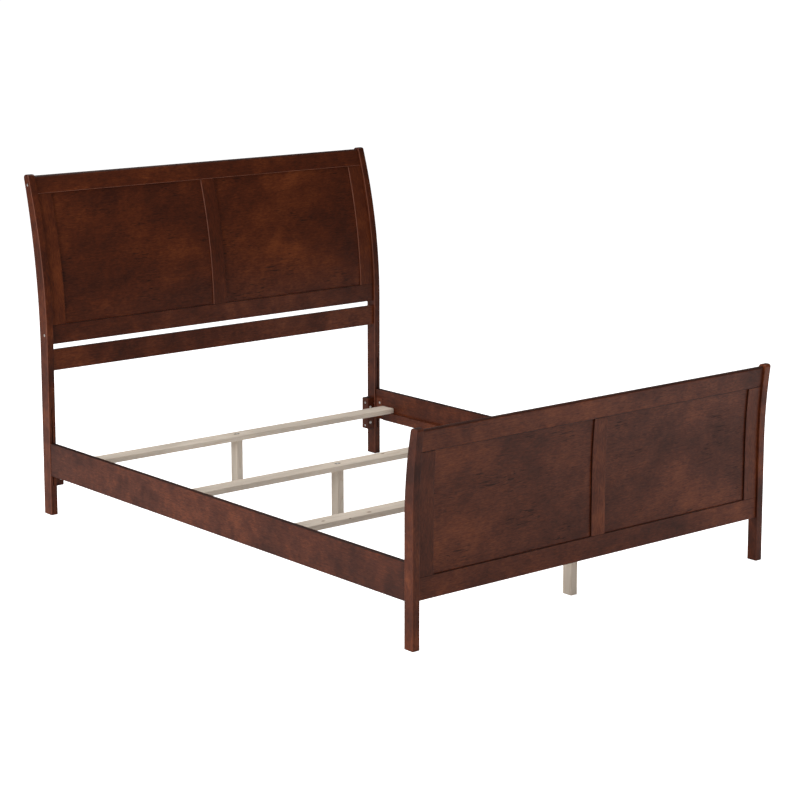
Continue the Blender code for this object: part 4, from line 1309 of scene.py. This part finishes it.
def light_world(scene, studio):
    """Even light from all round, white where the camera sees past the floor."""
    world = bpy.data.worlds.new("studio")
    scene.world = world
    world.use_nodes = True
    sky = world.node_tree
    back = sky.nodes["Background"]
    back.inputs["Color"].default_value = WHITE
    seen = node(sky, "ShaderNodeLightPath").outputs["Is Camera Ray"]
    sky.links.new(remap(sky, seen, 0.0, 1.0, studio.fill, 1.0), back.inputs["Strength"])


def soft_box(name, place, aim, size, power):
    lamp = bpy.data.lights.new(name, "AREA")
    lamp.shape = "RECTANGLE"
    lamp.size, lamp.size_y = size
    lamp.energy = power
    made = bpy.data.objects.new(name, lamp)
    bpy.context.scene.collection.objects.link(made)
    made.location = place
    made.rotation_euler = (Vector(aim) - Vector(place)).to_track_quat("-Z", "Y").to_euler()
    return lamp


def set_camera(scene, studio):
    lens = bpy.data.cameras.new("camera")
    lens.sensor_width = SENSOR_WIDTH
    lens.lens = studio.lens
    lens.shift_y = studio.shift
    lens.clip_end = FARTHEST_SEEN
    lens.dof.use_dof = False
    made = bpy.data.objects.new("camera", lens)
    scene.collection.objects.link(made)
    level = math.cos(studio.pitch)
    ahead = Vector(
        (-math.sin(studio.azimuth) * level, math.cos(studio.azimuth) * level, -math.sin(studio.pitch))
    )
    made.location = studio.camera_place
    made.rotation_euler = ahead.to_track_quat("-Z", "Y").to_euler()
    scene.camera = made


class BED_OT_stage(bpy.types.Operator):
    """Lays the floor and sets the lights and the camera"""

    bl_idname = "sleigh_bed.stage"
    bl_label = "Stage"
    bl_options = {"REGISTER", "UNDO"}

    def execute(self, context):
        scene = context.scene
        studio = scene.studio_settings
        lay_floor()
        light_world(scene, studio)
        for name, (place, aim, size) in SOFT_BOXES.items():
            lamp = soft_box(f"{name}_light", place, aim, size, getattr(studio, f"{name}_power"))
            if name == "floor":
                lamp.spread = FLOOR_BEAM
        set_camera(scene, studio)
        scene.view_settings.view_transform = "Standard"
        return {"FINISHED"}


PROPERTY_GROUPS = {
    "walnut_finish": WalnutFinish,
    "pine_finish": PineFinish,
    "steel_finish": SteelFinish,
    "bed_sizes": BedSizes,
    "studio_settings": StudioSettings,
}
OPERATORS = (
    BED_OT_posts,
    BED_OT_frame_rails,
    BED_OT_stiles,
    BED_OT_panels,
    BED_OT_side_rails,
    BED_OT_slats,
    BED_OT_fasteners,
    BED_OT_stage,
)


class BED_PT_panel(bpy.types.Panel):
    """Lists the steps and the settings of the bed"""

    bl_idname = "BED_PT_panel"
    bl_label = "Sleigh bed"
    bl_space_type = "VIEW_3D"
    bl_region_type = "UI"
    bl_category = "Sleigh bed"

    def draw(self, context):
        for operator in OPERATORS:
            self.layout.operator(operator.bl_idname)
        for name, kind in PROPERTY_GROUPS.items():
            box = self.layout.box()
            for field in kind.__annotations__:
                box.prop(getattr(context.scene, name), field)


def register():
    for name, kind in PROPERTY_GROUPS.items():
        bpy.utils.register_class(kind)
        setattr(bpy.types.Scene, name, bpy.props.PointerProperty(type=kind))
    for kind in (*OPERATORS, BED_PT_panel):
        bpy.utils.register_class(kind)


def unregister():
    for kind in (BED_PT_panel, *reversed(OPERATORS)):
        bpy.utils.unregister_class(kind)
    for name, kind in reversed(PROPERTY_GROUPS.items()):
        delattr(bpy.types.Scene, name)
        bpy.utils.unregister_class(kind)


def main():
    register()
    for leftover in ("Cube", "Light", "Camera"):
        if leftover in bpy.data.objects:
            bpy.data.objects.remove(bpy.data.objects[leftover])
    for operator in OPERATORS:
        family, verb = operator.bl_idname.split(".")
        getattr(getattr(bpy.ops, family), verb)()


if __name__ == "__main__":
    main()
